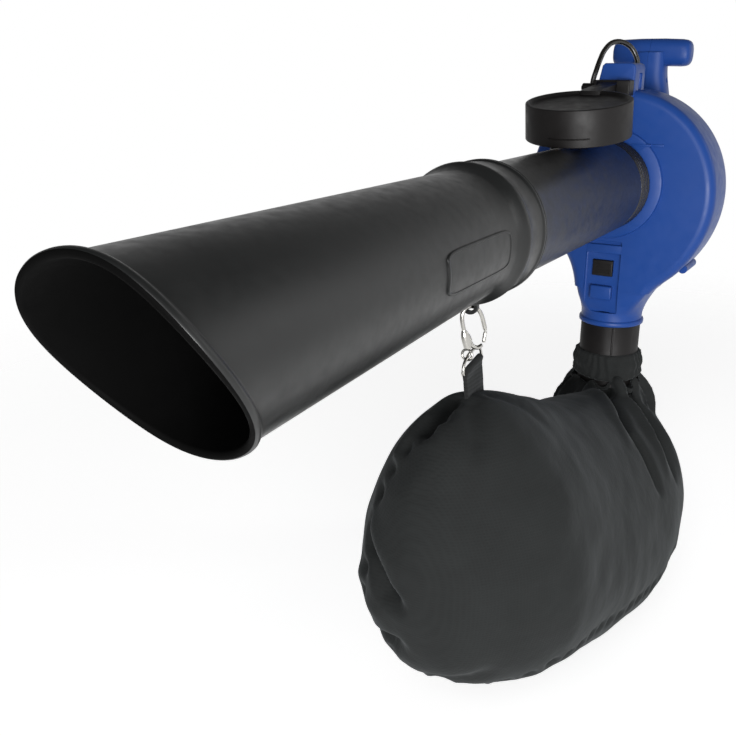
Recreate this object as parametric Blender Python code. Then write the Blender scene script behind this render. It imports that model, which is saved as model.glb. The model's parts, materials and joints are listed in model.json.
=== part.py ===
"""Leaf blower vacuum with its collecting bag, built from separate named pieces.

Metres, +Z up. The world's origin is the middle of the T-grip, where a hand holds the machine. Everything is
modelled in the machine's own frame, which an empty places: y = 0 is the suction tube's rear edge, the tube and
the motor share the axis x = z = 0, the mouth looks along -Y and the grip is at +Y.
"""
import math

import bmesh
import bpy
from mathutils import Matrix, Vector

# Clearances
GAP = 0.0003
RUNNING_GAP = 0.0005
WALL = 0.0026
WELD = 0.00001

# Grip
GRIP_Y = 0.226
GRIP_Z = 0.175
BAR_LENGTH = 0.115
BAR_HEIGHT = 0.039
BAR_DEPTH = 0.036
PILLAR_TOP_WIDTH = 0.046
PILLAR_FOOT_WIDTH = 0.088
PILLAR_DEPTH = 0.046

# Suction tube
TUBE_R = 0.0625
TUBE_WALL = 0.0024
TUBE_LENGTH = 0.412
TUBE_FLANGE_R = 0.0697
TUBE_INSERT = 0.0430
TUBE_FLANGE_WIDTH = 0.0036
NECK_R = 0.0555
NECK_INSERT = 0.013

# Nozzle
SOCKET_WALL = 0.0055
SOCKET_RING = 0.0085
SOCKET_STOP = 0.0030
SOCKET_STEP = 0.0170
NOZZLE_START_R = 0.0640
NOZZLE_LENGTH = 0.4267
MOUTH_R = 0.0745
MOUTH_DROP = 0.0100
MOUTH_BEAD = 0.0042
MOUTH_BEAD_WIDTH = 0.0095
LIP_HALF_HEIGHT = 0.076
LIP_SLOPE = -0.7307
LIP_BOW = 0.0916
LIP_SWEEP = 0.1779
BADGE_LENGTH = 0.134
BADGE_HEIGHT = 0.038
BADGE_RISE = 0.0012
LUG_SETBACK = 0.0210
LUG_R = 0.0094
LUG_THICKNESS = 0.0044
LUG_HOLE_R = 0.0054
LUG_DROP = 0.0768

# Volute housing
HOUSING_FRONT_Y = 0.050
HOUSING_DEPTH = 0.087
TONGUE_R = 0.112
SCROLL_GROWTH = 0.0485
SCROLL_POWER = 1.9
SCROLL_SWEEP = 300.0
TONGUE_ANGLE = 244.0
RIM_ROUNDING = 0.013
INLET_RING_R = 0.0765
INLET_RING_HEIGHT = 0.0042
BLOCK_WIDTH = 0.052
BLOCK_TOP_Z = 0.160
BLOCK_PROUD = 0.0006
BLOCK_TAB = 0.0050
LEDGE_LENGTH = 0.032

# Outlet
OUTLET_X = 0.0104
OUTLET_R = 0.0452
OUTLET_END_Z = -0.2065
SLEEVE_R = 0.0430
SLEEVE_WALL = 0.0022
SLEEVE_END_Z = -0.300
SLEEVE_INSERT = 0.0160
LIP_HEIGHT = 0.0075

# Latch on the neck
PANEL_X = (-0.022, 0.029)
PANEL_Z = (-0.186, -0.080)
PANEL_DEPTH = 0.005
BUTTON_X = 0.0031
BUTTON_Z = -0.1205
BUTTON_WIDTH = 0.0290
BUTTON_HEIGHT = 0.0230
BUTTON_FLANGE = 0.0020
BUTTON_PROUD = 0.0035
BUTTON_TRAVEL = 0.003
LATCH_DEPTH = 0.0086
LATCH_PLATE = 0.0020
SPRING_R = 0.0045
SPRING_WIRE_R = 0.0004
SPRING_TURNS = 2
SPRING_PRESSED = 0.0017

# Motor and fan
SHAFT_R = 0.0040
BEARING_R = 0.0110
BEARING_WIDTH = 0.0070
IMPELLER_R = 0.100
IMPELLER_PLATE = 0.0030
IMPELLER_FRONT_GAP = 0.0155
IMPELLER_BACK_GAP = 0.0155
BLADE_COUNT = 8
BLADE_THICKNESS = 0.0026
BLADE_ROOT_R = 0.0300
HUB_R = 0.0190
MOTOR_R = 0.0580
MOTOR_LENGTH = 0.122
ROTOR_R = 0.0240
STATOR_GAP = 0.0008
STATOR_R = 0.0440
CORE_LENGTH = 0.044
CORE_START = 0.026
COMMUTATOR_R = 0.0130
COMMUTATOR_LENGTH = 0.016
COOLING_FAN_R = 0.034

# Inlet cover
COVER_R = 0.0650
COVER_HEIGHT = 0.0440
COVER_WALL = 0.0024
COVER_TILT = 9.0
COVER_Y = -0.0950
HINGE_Y = 0.0357
HINGE_Z = 0.1283
HINGE_PIN_R = 0.0028
KNUCKLE_R = 0.0072
KNUCKLE_WIDTH = 0.0270
KNUCKLE_X = -0.0050
BRACKET_X = (-0.024, 0.0262)
BRACKET_FRONT_Y = 0.0262
BRACKET_Z = (0.1185, 0.1385)
EAR_X = -0.0400

# Lead
LEAD_R = 0.0035
LEAD_PITCH = 0.0078
LEAD_TURNS = 4.70
LEAD_POINTS_PER_TURN = 24
LEAD_TAIL = 0.026
RELIEF_LENGTH = 0.026
RELIEF_FOOT_R = 0.0070
LEAD_EXIT_X = 0.010
LEAD_EXIT_Y = 0.1115
PLUG_LENGTH = 0.036
PLUG_WIDTH = 0.019
PLUG_DEPTH = 0.0165
PRONG_LENGTH = 0.017
PLUG_SHIFT = 0.0062
CLIP_WALL = 0.0020

# Bag hanger
HOOK_WIRE_R = 0.0023
HOOK_TURN = math.atan2(0.8, 0.6)
RING_WIRE_R = 0.0017
RING_BAR_Z = -0.1450
RING_SETBACK = 0.0110
RING_LEAN = 13.0
RING_HALF_WIDTH = 0.0225
RING_RISE = 0.0170
STRAP_WIDTH = 0.040
STRAP_LENGTH = 0.0500
STRAP_THICKNESS = 0.0044
EYE_R = 0.0058
EYE_WIRE_R = 0.0014

# Bag
CUFF_TOP_Z = -0.250
CUFF_BOTTOM_Z = -0.287
CUFF_THICKNESS = 0.0080
BAG_SAG = 0.23
BAG_REACH = 0.3790

BAG_STATIONS = [
    (-0.502, -0.300, -0.412, 0.030, 0.000), (-0.488, -0.243, -0.456, 0.060, 0.000), (-0.455, -0.197, -0.492, 0.090, 0.000),
    (-0.415, -0.182, -0.514, 0.116, 0.003), (-0.375, -0.1766, -0.530, 0.130, 0.005), (-0.320, -0.193, -0.549, 0.135, 0.005),
    (-0.260, -0.217, -0.570, 0.138, 0.005), (-0.160, -0.256, -0.599, 0.144, 0.008), (-0.050, -0.286, -0.612, 0.144, 0.013),
    (0.040, -0.303, -0.598, 0.136, 0.017), (0.095, -0.310, -0.576, 0.123, 0.017), (0.138, -0.322, -0.547, 0.102, 0.014),
    (0.167, -0.350, -0.513, 0.072, 0.008), (0.182, -0.392, -0.477, 0.038, 0.004)]

# Switch
SWITCH_Z = 0.112
SWITCH_WIDTH = 0.020
SWITCH_HEIGHT = 0.030
SWITCH_DEPTH = 0.020
ROCKER_ANGLE = 8.0

SCREW_R = 0.0018
SCREW_HEAD_R = 0.0036
SCREW_HEAD = 0.0022
SCREW_HOLE_R = 0.0021

# Places that follow from the sizes above
TUBE_FLANGE_Y = -TUBE_LENGTH + TUBE_INSERT
SOCKET_FRONT_Y = -TUBE_LENGTH - SOCKET_STOP
NOZZLE_START_Y = SOCKET_FRONT_Y - SOCKET_STEP
MOUTH_Y = NOZZLE_START_Y - NOZZLE_LENGTH
LUG_Y = TUBE_FLANGE_Y - LUG_SETBACK
RING_BAR_Y = LUG_Y + RING_SETBACK
LUG_TOP_Z = -LUG_DROP
STRAP_END_Z = RING_BAR_Z - STRAP_LENGTH
MOTOR_EAR_X = MOTOR_R + 0.0085
HOUSING_BACK_Y = HOUSING_FRONT_Y + HOUSING_DEPTH
PARTING_Y = (HOUSING_FRONT_Y + HOUSING_BACK_Y) / 2
RING_FRONT_Y = HOUSING_FRONT_Y - INLET_RING_HEIGHT
NECK_END_Y = HOUSING_FRONT_Y + NECK_INSERT
MOTOR_FRONT_Y = HOUSING_BACK_Y + GAP
MOTOR_BACK_Y = MOTOR_FRONT_Y + MOTOR_LENGTH
IMPELLER_BACK_Y = HOUSING_BACK_Y - IMPELLER_BACK_GAP
BLADE_FRONT_Y = HOUSING_FRONT_Y + IMPELLER_FRONT_GAP
FRONT_BEARING_Y = HOUSING_BACK_Y - 0.0035
REAR_BEARING_Y = MOTOR_BACK_Y - WALL - 0.0125
CORE_START_Y = HOUSING_BACK_Y + CORE_START
CORE_END_Y = CORE_START_Y + CORE_LENGTH
COMMUTATOR_Y = CORE_END_Y + 0.010
SLEEVE_Y = PARTING_Y
BUTTON_FACE_Y = HOUSING_FRONT_Y + PANEL_DEPTH
CHAMBER_Y = BUTTON_FACE_Y + WALL
CHAMBER_BACK_Y = CHAMBER_Y + LATCH_DEPTH
SOCKET_R = TUBE_R + GAP
SOCKET_OUTER_R = TUBE_R + SOCKET_WALL
SOCKET_RING_R = TUBE_R + SOCKET_RING
SOCKET_REAR_Y = TUBE_FLANGE_Y - GAP
WINDING_R = (NECK_R + LEAD_R + 0.0002) / math.cos(math.pi / LEAD_POINTS_PER_TURN)
ROUND_STEPS = 32
SEAM_SHIFT = 0.05


def new_collection(name):
    """Makes a collection in the scene."""
    group = bpy.data.collections.new(name)
    bpy.context.scene.collection.children.link(group)
    return group


for old in list(bpy.data.objects):
    bpy.data.objects.remove(old, do_unlink=True)

PARTS = new_collection("leaf_blower_vacuum")
CUTTERS = new_collection("cutters")

MACHINE = bpy.data.objects.new("machine_frame", None)
MACHINE.location = (0.0, -GRIP_Y, -GRIP_Z)
PARTS.objects.link(MACHINE)


def make_material(name, colour, roughness, metallic=0.0):
    """Makes a Principled material from a linear colour."""
    material = bpy.data.materials.new(name)
    material.use_nodes = True
    shader = material.node_tree.nodes["Principled BSDF"]
    shader.inputs["Base Color"].default_value = (*colour, 1.0)
    shader.inputs["Roughness"].default_value = roughness
    shader.inputs["Metallic"].default_value = metallic
    material.diffuse_color = (*colour, 1.0)
    return material


BLACK_PLASTIC = make_material("black_plastic", (0.035, 0.036, 0.037), 0.45)
COVER_PLASTIC = make_material("cover_plastic", (0.022, 0.022, 0.023), 0.55)
BLUE_PLASTIC = make_material("blue_plastic", (0.025, 0.078, 0.33), 0.42)
BAG_FABRIC = make_material("bag_fabric", (0.020, 0.021, 0.022), 0.95)
WEBBING = make_material("webbing", (0.015, 0.015, 0.016), 0.9)
NICKEL = make_material("nickel", (0.62, 0.61, 0.59), 0.22, 1.0)
STEEL = make_material("steel", (0.42, 0.42, 0.43), 0.3, 1.0)
COPPER = make_material("copper", (0.55, 0.25, 0.12), 0.35, 1.0)
BRASS = make_material("brass", (0.6, 0.45, 0.18), 0.35, 1.0)
CARBON = make_material("carbon", (0.02, 0.02, 0.02), 0.7)
LEAD_SHEATH = make_material("lead_sheath", (0.045, 0.042, 0.036), 0.6)
FAN_NYLON = make_material("fan_nylon", (0.05, 0.05, 0.05), 0.5)


def place(obj, origin=(0.0, 0.0, 0.0), parent=None):
    """Moves an object's origin to a point of the machine frame and parents it."""
    obj.data.transform(Matrix.Translation(-Vector(origin)))
    obj.location = Vector(origin)
    obj.parent = parent or MACHINE
    return obj


def finish_mesh(name, mesh_data, material=None, origin=(0.0, 0.0, 0.0), smooth=35.0):
    """Turns a bmesh into a part, or into a hidden cutter where it has no material."""
    bmesh.ops.remove_doubles(mesh_data, verts=mesh_data.verts, dist=1e-6)
    bmesh.ops.recalc_face_normals(mesh_data, faces=mesh_data.faces)
    bmesh.ops.triangulate(mesh_data, faces=mesh_data.faces)
    mesh = bpy.data.meshes.new(name)
    mesh_data.to_mesh(mesh)
    mesh_data.free()
    obj = bpy.data.objects.new(name, mesh)
    if material is None:
        CUTTERS.objects.link(obj)
        obj.hide_render = True
        obj.display_type = "WIRE"
    else:
        PARTS.objects.link(obj)
        mesh.materials.append(material)
        mesh.shade_smooth()
        mesh.set_sharp_from_angle(angle=math.radians(smooth))
    return place(obj, origin)


def axis_frame(axis):
    """Gives a matrix whose third column is the axis."""
    if axis == "X":
        return Matrix(((0, 0, 1), (1, 0, 0), (0, 1, 0)))
    if axis == "Y":
        return Matrix(((0, 1, 0), (0, 0, 1), (1, 0, 0)))
    return Matrix.Identity(3)


def turned(name, profile, material=None, centre=(0.0, 0.0, 0.0), axis="Y", steps=ROUND_STEPS, origin=(0, 0, 0), phase=0.0):
    """Spins a closed outline of (radius, height) points about an axis through the centre."""
    turn = axis_frame(axis) @ Matrix.Rotation(phase, 3, "Z")
    data = bmesh.new()
    points = [data.verts.new(Vector(centre) + turn @ Vector((r, 0.0, h))) for r, h in profile]
    edges = [data.edges.new((a, b)) for a, b in zip(points, points[1:] + points[:1])]
    bmesh.ops.spin(data, geom=points + edges, cent=centre, axis=turn @ Vector((0, 0, 1)), angle=2 * math.pi,
                   steps=steps, use_merge=True)
    bmesh.ops.remove_doubles(data, verts=data.verts, dist=1e-6)
    bmesh.ops.delete(data, geom=[edge for edge in data.edges if not edge.link_faces], context="EDGES")
    return finish_mesh(name, data, material, origin)


def rod(name, radius, low, high, material=None, centre=(0, 0, 0), axis="Y", steps=16, origin=(0, 0, 0), phase=0.0):
    """Makes a round bar between two places along an axis; phase turns its corners."""
    data = bmesh.new()
    place_in = (axis_frame(axis) @ Matrix.Rotation(phase, 3, "Z")).to_4x4()
    place_in.translation = Vector(centre) + axis_frame(axis) @ Vector((0, 0, (low + high) / 2))
    bmesh.ops.create_cone(data, cap_ends=True, segments=steps, radius1=radius,
                          radius2=radius, depth=high - low, matrix=place_in)
    return finish_mesh(name, data, material, origin)


def block(name, low, high, material=None, rounding=0.0, origin=(0, 0, 0), segments=2):
    """Makes a box between two corners, with rounded edges where rounding is given."""
    data = bmesh.new()
    bmesh.ops.create_cube(data, size=1.0)
    for vertex in data.verts:
        vertex.co = Vector(low[i] if vertex.co[i] < 0 else high[i] for i in range(3))
    if rounding:
        bmesh.ops.bevel(data, geom=data.edges, offset=rounding, segments=segments, affect="EDGES", profile=0.5)
    return finish_mesh(name, data, material, origin)


def prism(name, outline, axis, low, high, material=None, origin=(0, 0, 0), rounding=0.0):
    """Extrudes a flat outline along X, Y or Z between two places."""
    data = bmesh.new()
    order = {"X": lambda a, b, h: (h, a, b), "Y": lambda a, b, h: (a, h, b), "Z": lambda a, b, h: (a, b, h)}[axis]
    face = data.faces.new([data.verts.new(order(a, b, low)) for a, b in outline])
    grown = bmesh.ops.extrude_face_region(data, geom=[face])
    raised = [item for item in grown["geom"] if isinstance(item, bmesh.types.BMVert)]
    bmesh.ops.translate(data, verts=raised, vec=order(0, 0, high - low))
    if rounding:
        rims = [e for e in data.edges if all(len(f.verts) == 4 for f in e.link_faces) is False]
        bmesh.ops.bevel(data, geom=rims, offset=rounding, segments=2, affect="EDGES", profile=0.5)
    return finish_mesh(name, data, material, origin)


def loft(name, rings, material=None, origin=(0, 0, 0), closed=False):
    """Joins rings of equal point counts by faces; closed joins the last ring to the first."""
    data = bmesh.new()
    levels = [[data.verts.new(point) for point in ring] for ring in rings]
    pairs = list(zip(levels, levels[1:]))
    if closed:
        pairs.append((levels[-1], levels[0]))
    for low, high in pairs:
        for i in range(len(low)):
            k = (i + 1) % len(low)
            data.faces.new((low[i], low[k], high[k], high[i]))
    if not closed:
        data.faces.new(levels[0])
        data.faces.new(list(reversed(levels[-1])))
    return finish_mesh(name, data, material, origin)


def smooth_route(points, step):
    """Reads points from a smooth curve through a route, about one step apart."""
    route = [Vector(p) for p in points]
    padded = [2 * route[0] - route[1]] + route + [2 * route[-1] - route[-2]]
    line = []
    for before, start, end, after in zip(padded, padded[1:], padded[2:], padded[3:]):
        count = max(1, round((end - start).length / step))
        for i in range(count):
            t = i / count
            line.append(0.5 * (2 * start + (end - before) * t + (2 * before - 5 * start + 4 * end - after) * t * t
                               + (3 * start - before - 3 * end + after) * t * t * t))
    return line + [route[-1]]


def wire(name, points, radius, material=None, origin=(0, 0, 0), sides=2, closed=False):
    """Sweeps a round section along points, as a curve made a mesh with welded caps."""
    curve = bpy.data.curves.new(name + "_path", "CURVE")
    curve.dimensions = "3D"
    curve.bevel_depth = radius
    curve.bevel_resolution = sides
    curve.use_fill_caps = not closed
    spline = curve.splines.new("POLY")
    spline.points.add(len(points) - 1)
    for point, where in zip(spline.points, points):
        point.co = (*where, 1.0)
    spline.use_cyclic_u = closed
    path = bpy.data.objects.new(name + "_path", curve)
    CUTTERS.objects.link(path)
    bpy.context.view_layer.update()
    mesh = bpy.data.meshes.new_from_object(path.evaluated_get(bpy.context.evaluated_depsgraph_get()))
    bpy.data.objects.remove(path)
    data = bmesh.new()
    data.from_mesh(mesh)
    bpy.data.meshes.remove(mesh)
    return finish_mesh(name, data, material, origin)


def combine(obj, other, operation="DIFFERENCE"):
    """Adds a Boolean of another object and hides that object as a cutter."""
    modifier = obj.modifiers.new(operation.lower(), "BOOLEAN")
    modifier.operation = operation
    modifier.object = other
    modifier.solver = "EXACT"
    weld = obj.modifiers.new("weld", "WELD")
    weld.merge_threshold = WELD
    if other.name in PARTS.objects:
        PARTS.objects.unlink(other)
        CUTTERS.objects.link(other)
    other.hide_render = True
    other.display_type = "WIRE"
    return obj


def merge_flat(obj):
    """Merges the small flat triangles that Booleans leave."""
    flat = obj.modifiers.new("flat", "DECIMATE")
    flat.decimate_type = "DISSOLVE"
    flat.angle_limit = math.radians(0.4)
    return obj


def ring_of(count):
    """Gives the angles of a ring of points."""
    return [2 * math.pi * i / count for i in range(count)]


def oval(half_a, half_b, power, count, start=0.0):
    """Gives the points of a superellipse: power 2 is an ellipse, higher is squarer."""
    points = []
    for angle in ring_of(count):
        c, s = math.cos(angle + start), math.sin(angle + start)
        a = math.copysign(abs(c) ** (2 / power), c) * half_a
        b = math.copysign(abs(s) ** (2 / power), s) * half_b
        points.append((a, b))
    return points


def screw(name, x, z, head_y, tip_y):
    """Makes a screw along Y whose head faces the grip."""
    shank = (head_y, SCREW_HEAD_R), (head_y + SCREW_HEAD, SCREW_HEAD_R)
    profile = [(0.0, tip_y), (SCREW_R, tip_y + 0.001), (SCREW_R, head_y)]
    profile += [(radius, y) for y, radius in shank] + [(0.0, head_y + SCREW_HEAD)]
    return turned(name, profile, STEEL, centre=(x, 0.0, z), steps=10)


# Nozzle

def lip_y(height):
    """Gives the mouth's edge along the tube at a height of -1, bottom, to 1, top."""
    return MOUTH_Y + LIP_HALF_HEIGHT * (LIP_SLOPE * height + LIP_BOW * height ** 2 + LIP_SWEEP * height ** 3)


def nozzle_ring(share, grow, back=0.0, count=32):
    """Gives a ring of the tapered nozzle: share 0 is at the socket, 1 at the mouth; grow is added to the radius."""
    points = []
    for angle in ring_of(count):
        height = math.sin(angle)
        y = NOZZLE_START_Y + share * (lip_y(height) - NOZZLE_START_Y) + back
        t = (y - NOZZLE_START_Y) / (MOUTH_Y - NOZZLE_START_Y)
        radius = NOZZLE_START_R + t * (MOUTH_R - NOZZLE_START_R) + grow
        points.append((radius * math.cos(angle), y, radius * height - t * MOUTH_DROP))
    return points


def flat_ring(y, radius, count=32):
    """Gives a round ring square to the tube's axis."""
    return [(radius * math.cos(a), y, radius * math.sin(a)) for a in ring_of(count)]


def build_nozzle():
    """The flared nozzle with its socket, slanted mouth, bare badge panel and the bag's lug."""
    rings = [flat_ring(SOCKET_REAR_Y, SOCKET_R), flat_ring(SOCKET_REAR_Y, TUBE_FLANGE_R - 0.0012)]
    rings += [flat_ring(SOCKET_REAR_Y - 0.0012, TUBE_FLANGE_R), flat_ring(SOCKET_REAR_Y - 0.0034, TUBE_FLANGE_R)]
    rings += [flat_ring(SOCKET_REAR_Y - 0.0052, SOCKET_OUTER_R), flat_ring(SOCKET_FRONT_Y + 0.0085, SOCKET_OUTER_R + 0.0012)]
    rings += [flat_ring(SOCKET_FRONT_Y + 0.0030, SOCKET_RING_R), flat_ring(SOCKET_FRONT_Y - 0.0010, SOCKET_RING_R)]
    rings += [flat_ring(NOZZLE_START_Y + 0.0050, NOZZLE_START_R + 0.0018), nozzle_ring(0.0, 0.0)]
    rings += [nozzle_ring(share, 0.0) for share in (0.5,)]
    rings += [nozzle_ring(1.0, 0.0, back=MOUTH_BEAD_WIDTH), nozzle_ring(1.0, MOUTH_BEAD * 0.8, back=MOUTH_BEAD_WIDTH - 0.002)]
    rings += [nozzle_ring(1.0, MOUTH_BEAD, back=0.0025), nozzle_ring(1.0, MOUTH_BEAD * 0.5), nozzle_ring(1.0, 0.0)]
    rings += [nozzle_ring(1.0, -WALL, back=0.0025)]
    rings += [nozzle_ring(0.0, -WALL)]
    rings += [flat_ring(SOCKET_FRONT_Y - GAP, NOZZLE_START_R - WALL), flat_ring(SOCKET_FRONT_Y, SOCKET_R)]
    nozzle = loft("nozzle", rings, BLACK_PLASTIC, closed=True)

    badge_front = SOCKET_FRONT_Y - 0.0320 - BADGE_LENGTH
    panel = loft("badge_skin", [flat_cone(y, BADGE_RISE) for y in (badge_front - 0.02, badge_front + BADGE_LENGTH + 0.02)])
    core = loft("badge_core", [flat_cone(y, -WALL / 2) for y in (badge_front - 0.03, badge_front + BADGE_LENGTH + 0.03)])
    outline = [(badge_front + BADGE_LENGTH / 2 + a, b - 0.001) for a, b in oval(BADGE_LENGTH / 2, BADGE_HEIGHT / 2, 7, 24)]
    mask = prism("badge_mask", outline, "X", 0.03, 0.09)
    combine(panel, core)
    combine(panel, mask, "INTERSECT")
    combine(nozzle, panel, "UNION")

    lug = prism("lug_plate", [(-LUG_R, -SOCKET_R - 0.002)] + lug_end() + [(LUG_R, -SOCKET_R - 0.002)], "Y",
                LUG_Y - LUG_THICKNESS / 2, LUG_Y + LUG_THICKNESS / 2)
    combine(nozzle, lug, "UNION")
    hole = rod("lug_hole", LUG_HOLE_R, LUG_Y - 0.02, LUG_Y + 0.02, centre=(0, 0, -LUG_DROP), steps=20)
    combine(nozzle, hole)
    return merge_flat(nozzle)


def flat_cone(y, grow, count=48):
    """Gives a round section of the nozzle's taper, grown by a step."""
    t = (y - NOZZLE_START_Y) / (MOUTH_Y - NOZZLE_START_Y)
    radius = NOZZLE_START_R + t * (MOUTH_R - NOZZLE_START_R) + grow
    return [(radius * math.cos(a), y, radius * math.sin(a) - t * MOUTH_DROP) for a in ring_of(count)]


def lug_end():
    """Gives the half-round lower end of the lug, from left to right."""
    angles = [math.pi + math.pi * i / 10 for i in range(11)]
    return [(LUG_R * math.cos(a), -LUG_DROP + LUG_R * math.sin(a)) for a in angles]


def build_tube():
    """The straight suction tube, stepped down to the neck that carries the lead."""
    front = -TUBE_LENGTH
    flange_back = TUBE_FLANGE_Y + TUBE_FLANGE_WIDTH
    profile = [(TUBE_R - TUBE_WALL, front), (TUBE_R, front), (TUBE_R, TUBE_FLANGE_Y)]
    profile += [(TUBE_FLANGE_R, TUBE_FLANGE_Y), (TUBE_FLANGE_R, flange_back - 0.001), (TUBE_R, flange_back)]
    profile += [(TUBE_R, -0.0015), (TUBE_R - 0.0015, 0.0), (NECK_R, 0.0), (NECK_R, NECK_END_Y)]
    profile += [(NECK_R - TUBE_WALL, NECK_END_Y), (NECK_R - TUBE_WALL, -0.004), (TUBE_R - TUBE_WALL, -0.012)]
    return turned("suction_tube", profile, BLACK_PLASTIC)


# Volute housing

def scroll_radius(angle):
    """Gives the scroll's outer radius at an angle in degrees, counted from +X towards +Z."""
    turn = (TONGUE_ANGLE - angle) % 360
    if turn <= SCROLL_SWEEP:
        return TONGUE_R + SCROLL_GROWTH * (turn / SCROLL_SWEEP) ** SCROLL_POWER
    back = (turn - SCROLL_SWEEP) / (360 - SCROLL_SWEEP)
    return TONGUE_R + SCROLL_GROWTH * (1 - back)


def scroll_ring(y, inset, count=38):
    """Gives a closed ring of the scroll, drawn in by an inset."""
    points = []
    for i in range(count):
        angle = 360 * i / count
        radius = scroll_radius(angle) - inset
        points.append((radius * math.cos(math.radians(angle)), y, radius * math.sin(math.radians(angle))))
    return points


def scroll_body(name, inset, material=None):
    """The scroll as a solid disc with rounded rims; the inset makes its cavity."""
    front, back, turn = HOUSING_FRONT_Y + inset, HOUSING_BACK_Y - inset, RIM_ROUNDING - inset * 0.5
    steps = [(0.0, 1.0), (0.29, 0.29), (1.0, 0.0)]
    rings = [scroll_ring(front + turn * along, inset + turn * deep) for along, deep in steps]
    rings += [scroll_ring(back - turn * along, inset + turn * deep) for along, deep in reversed(steps)]
    return loft(name, rings, material)


def neck_body(name, inset, end_z, material=None):
    """The outlet neck, from the scroll's lower side down to its round end."""
    mid_depth = HOUSING_DEPTH / 2 - 0.0002
    stations = [(-0.080, -0.066, 0.104, 6.0), (-0.104, -0.052, 0.100, 5.5), (-0.128, -0.0430, 0.0880, 4.6),
                (-0.150, -0.0385, 0.0705, 3.6), (-0.168, -0.0365, 0.0605, 2.8), (-0.186, -0.0350, 0.0560, 2.2),
                (end_z, OUTLET_X - OUTLET_R + 0.0012, OUTLET_X + OUTLET_R - 0.0012, 2.0)]
    rings = []
    for z, left, right, power in stations:
        half_x, centre = (right - left) / 2 - inset, (right + left) / 2
        share = min(1.0, max(0.0, (z + 0.150) / (-0.186 + 0.150)))
        half_y = mid_depth + share * (OUTLET_R - 0.0012 - mid_depth) - inset
        if inset and z <= -0.186:
            half_x = half_y = SLEEVE_R - SLEEVE_WALL - 0.0010
            centre = OUTLET_X
        rings.append([(centre + a, PARTING_Y + b, z) for a, b in oval(half_x, half_y, power, 24)])
    return loft(name, rings, material)


def panel_box(name, grow, depth):
    """The latch panel's recess in the neck's front, or its backing inside the duct."""
    low = (PANEL_X[0] - grow, HOUSING_FRONT_Y - 0.02, PANEL_Z[0] - grow)
    high = (PANEL_X[1] + grow, HOUSING_FRONT_Y + depth, PANEL_Z[1] + grow)
    return block(name, low, high)


def chamber_box(name, grow, low_y, high_y):
    """The latch button's chamber, grown sideways."""
    half_x, half_z = BUTTON_WIDTH / 2 + grow, BUTTON_HEIGHT / 2 + grow
    return block(name, (BUTTON_X - half_x, low_y, BUTTON_Z - half_z), (BUTTON_X + half_x, high_y, BUTTON_Z + half_z))


def boss_places():
    """Gives the scroll's screw bosses as x, z."""
    places = []
    for angle in (-46.0, 150.0, 205.0):
        radius = scroll_radius(angle) + 0.0012
        places.append((radius * math.cos(math.radians(angle)), radius * math.sin(math.radians(angle))))
    return places + [(0.0, BLOCK_TOP_Z - 0.012)]


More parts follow.
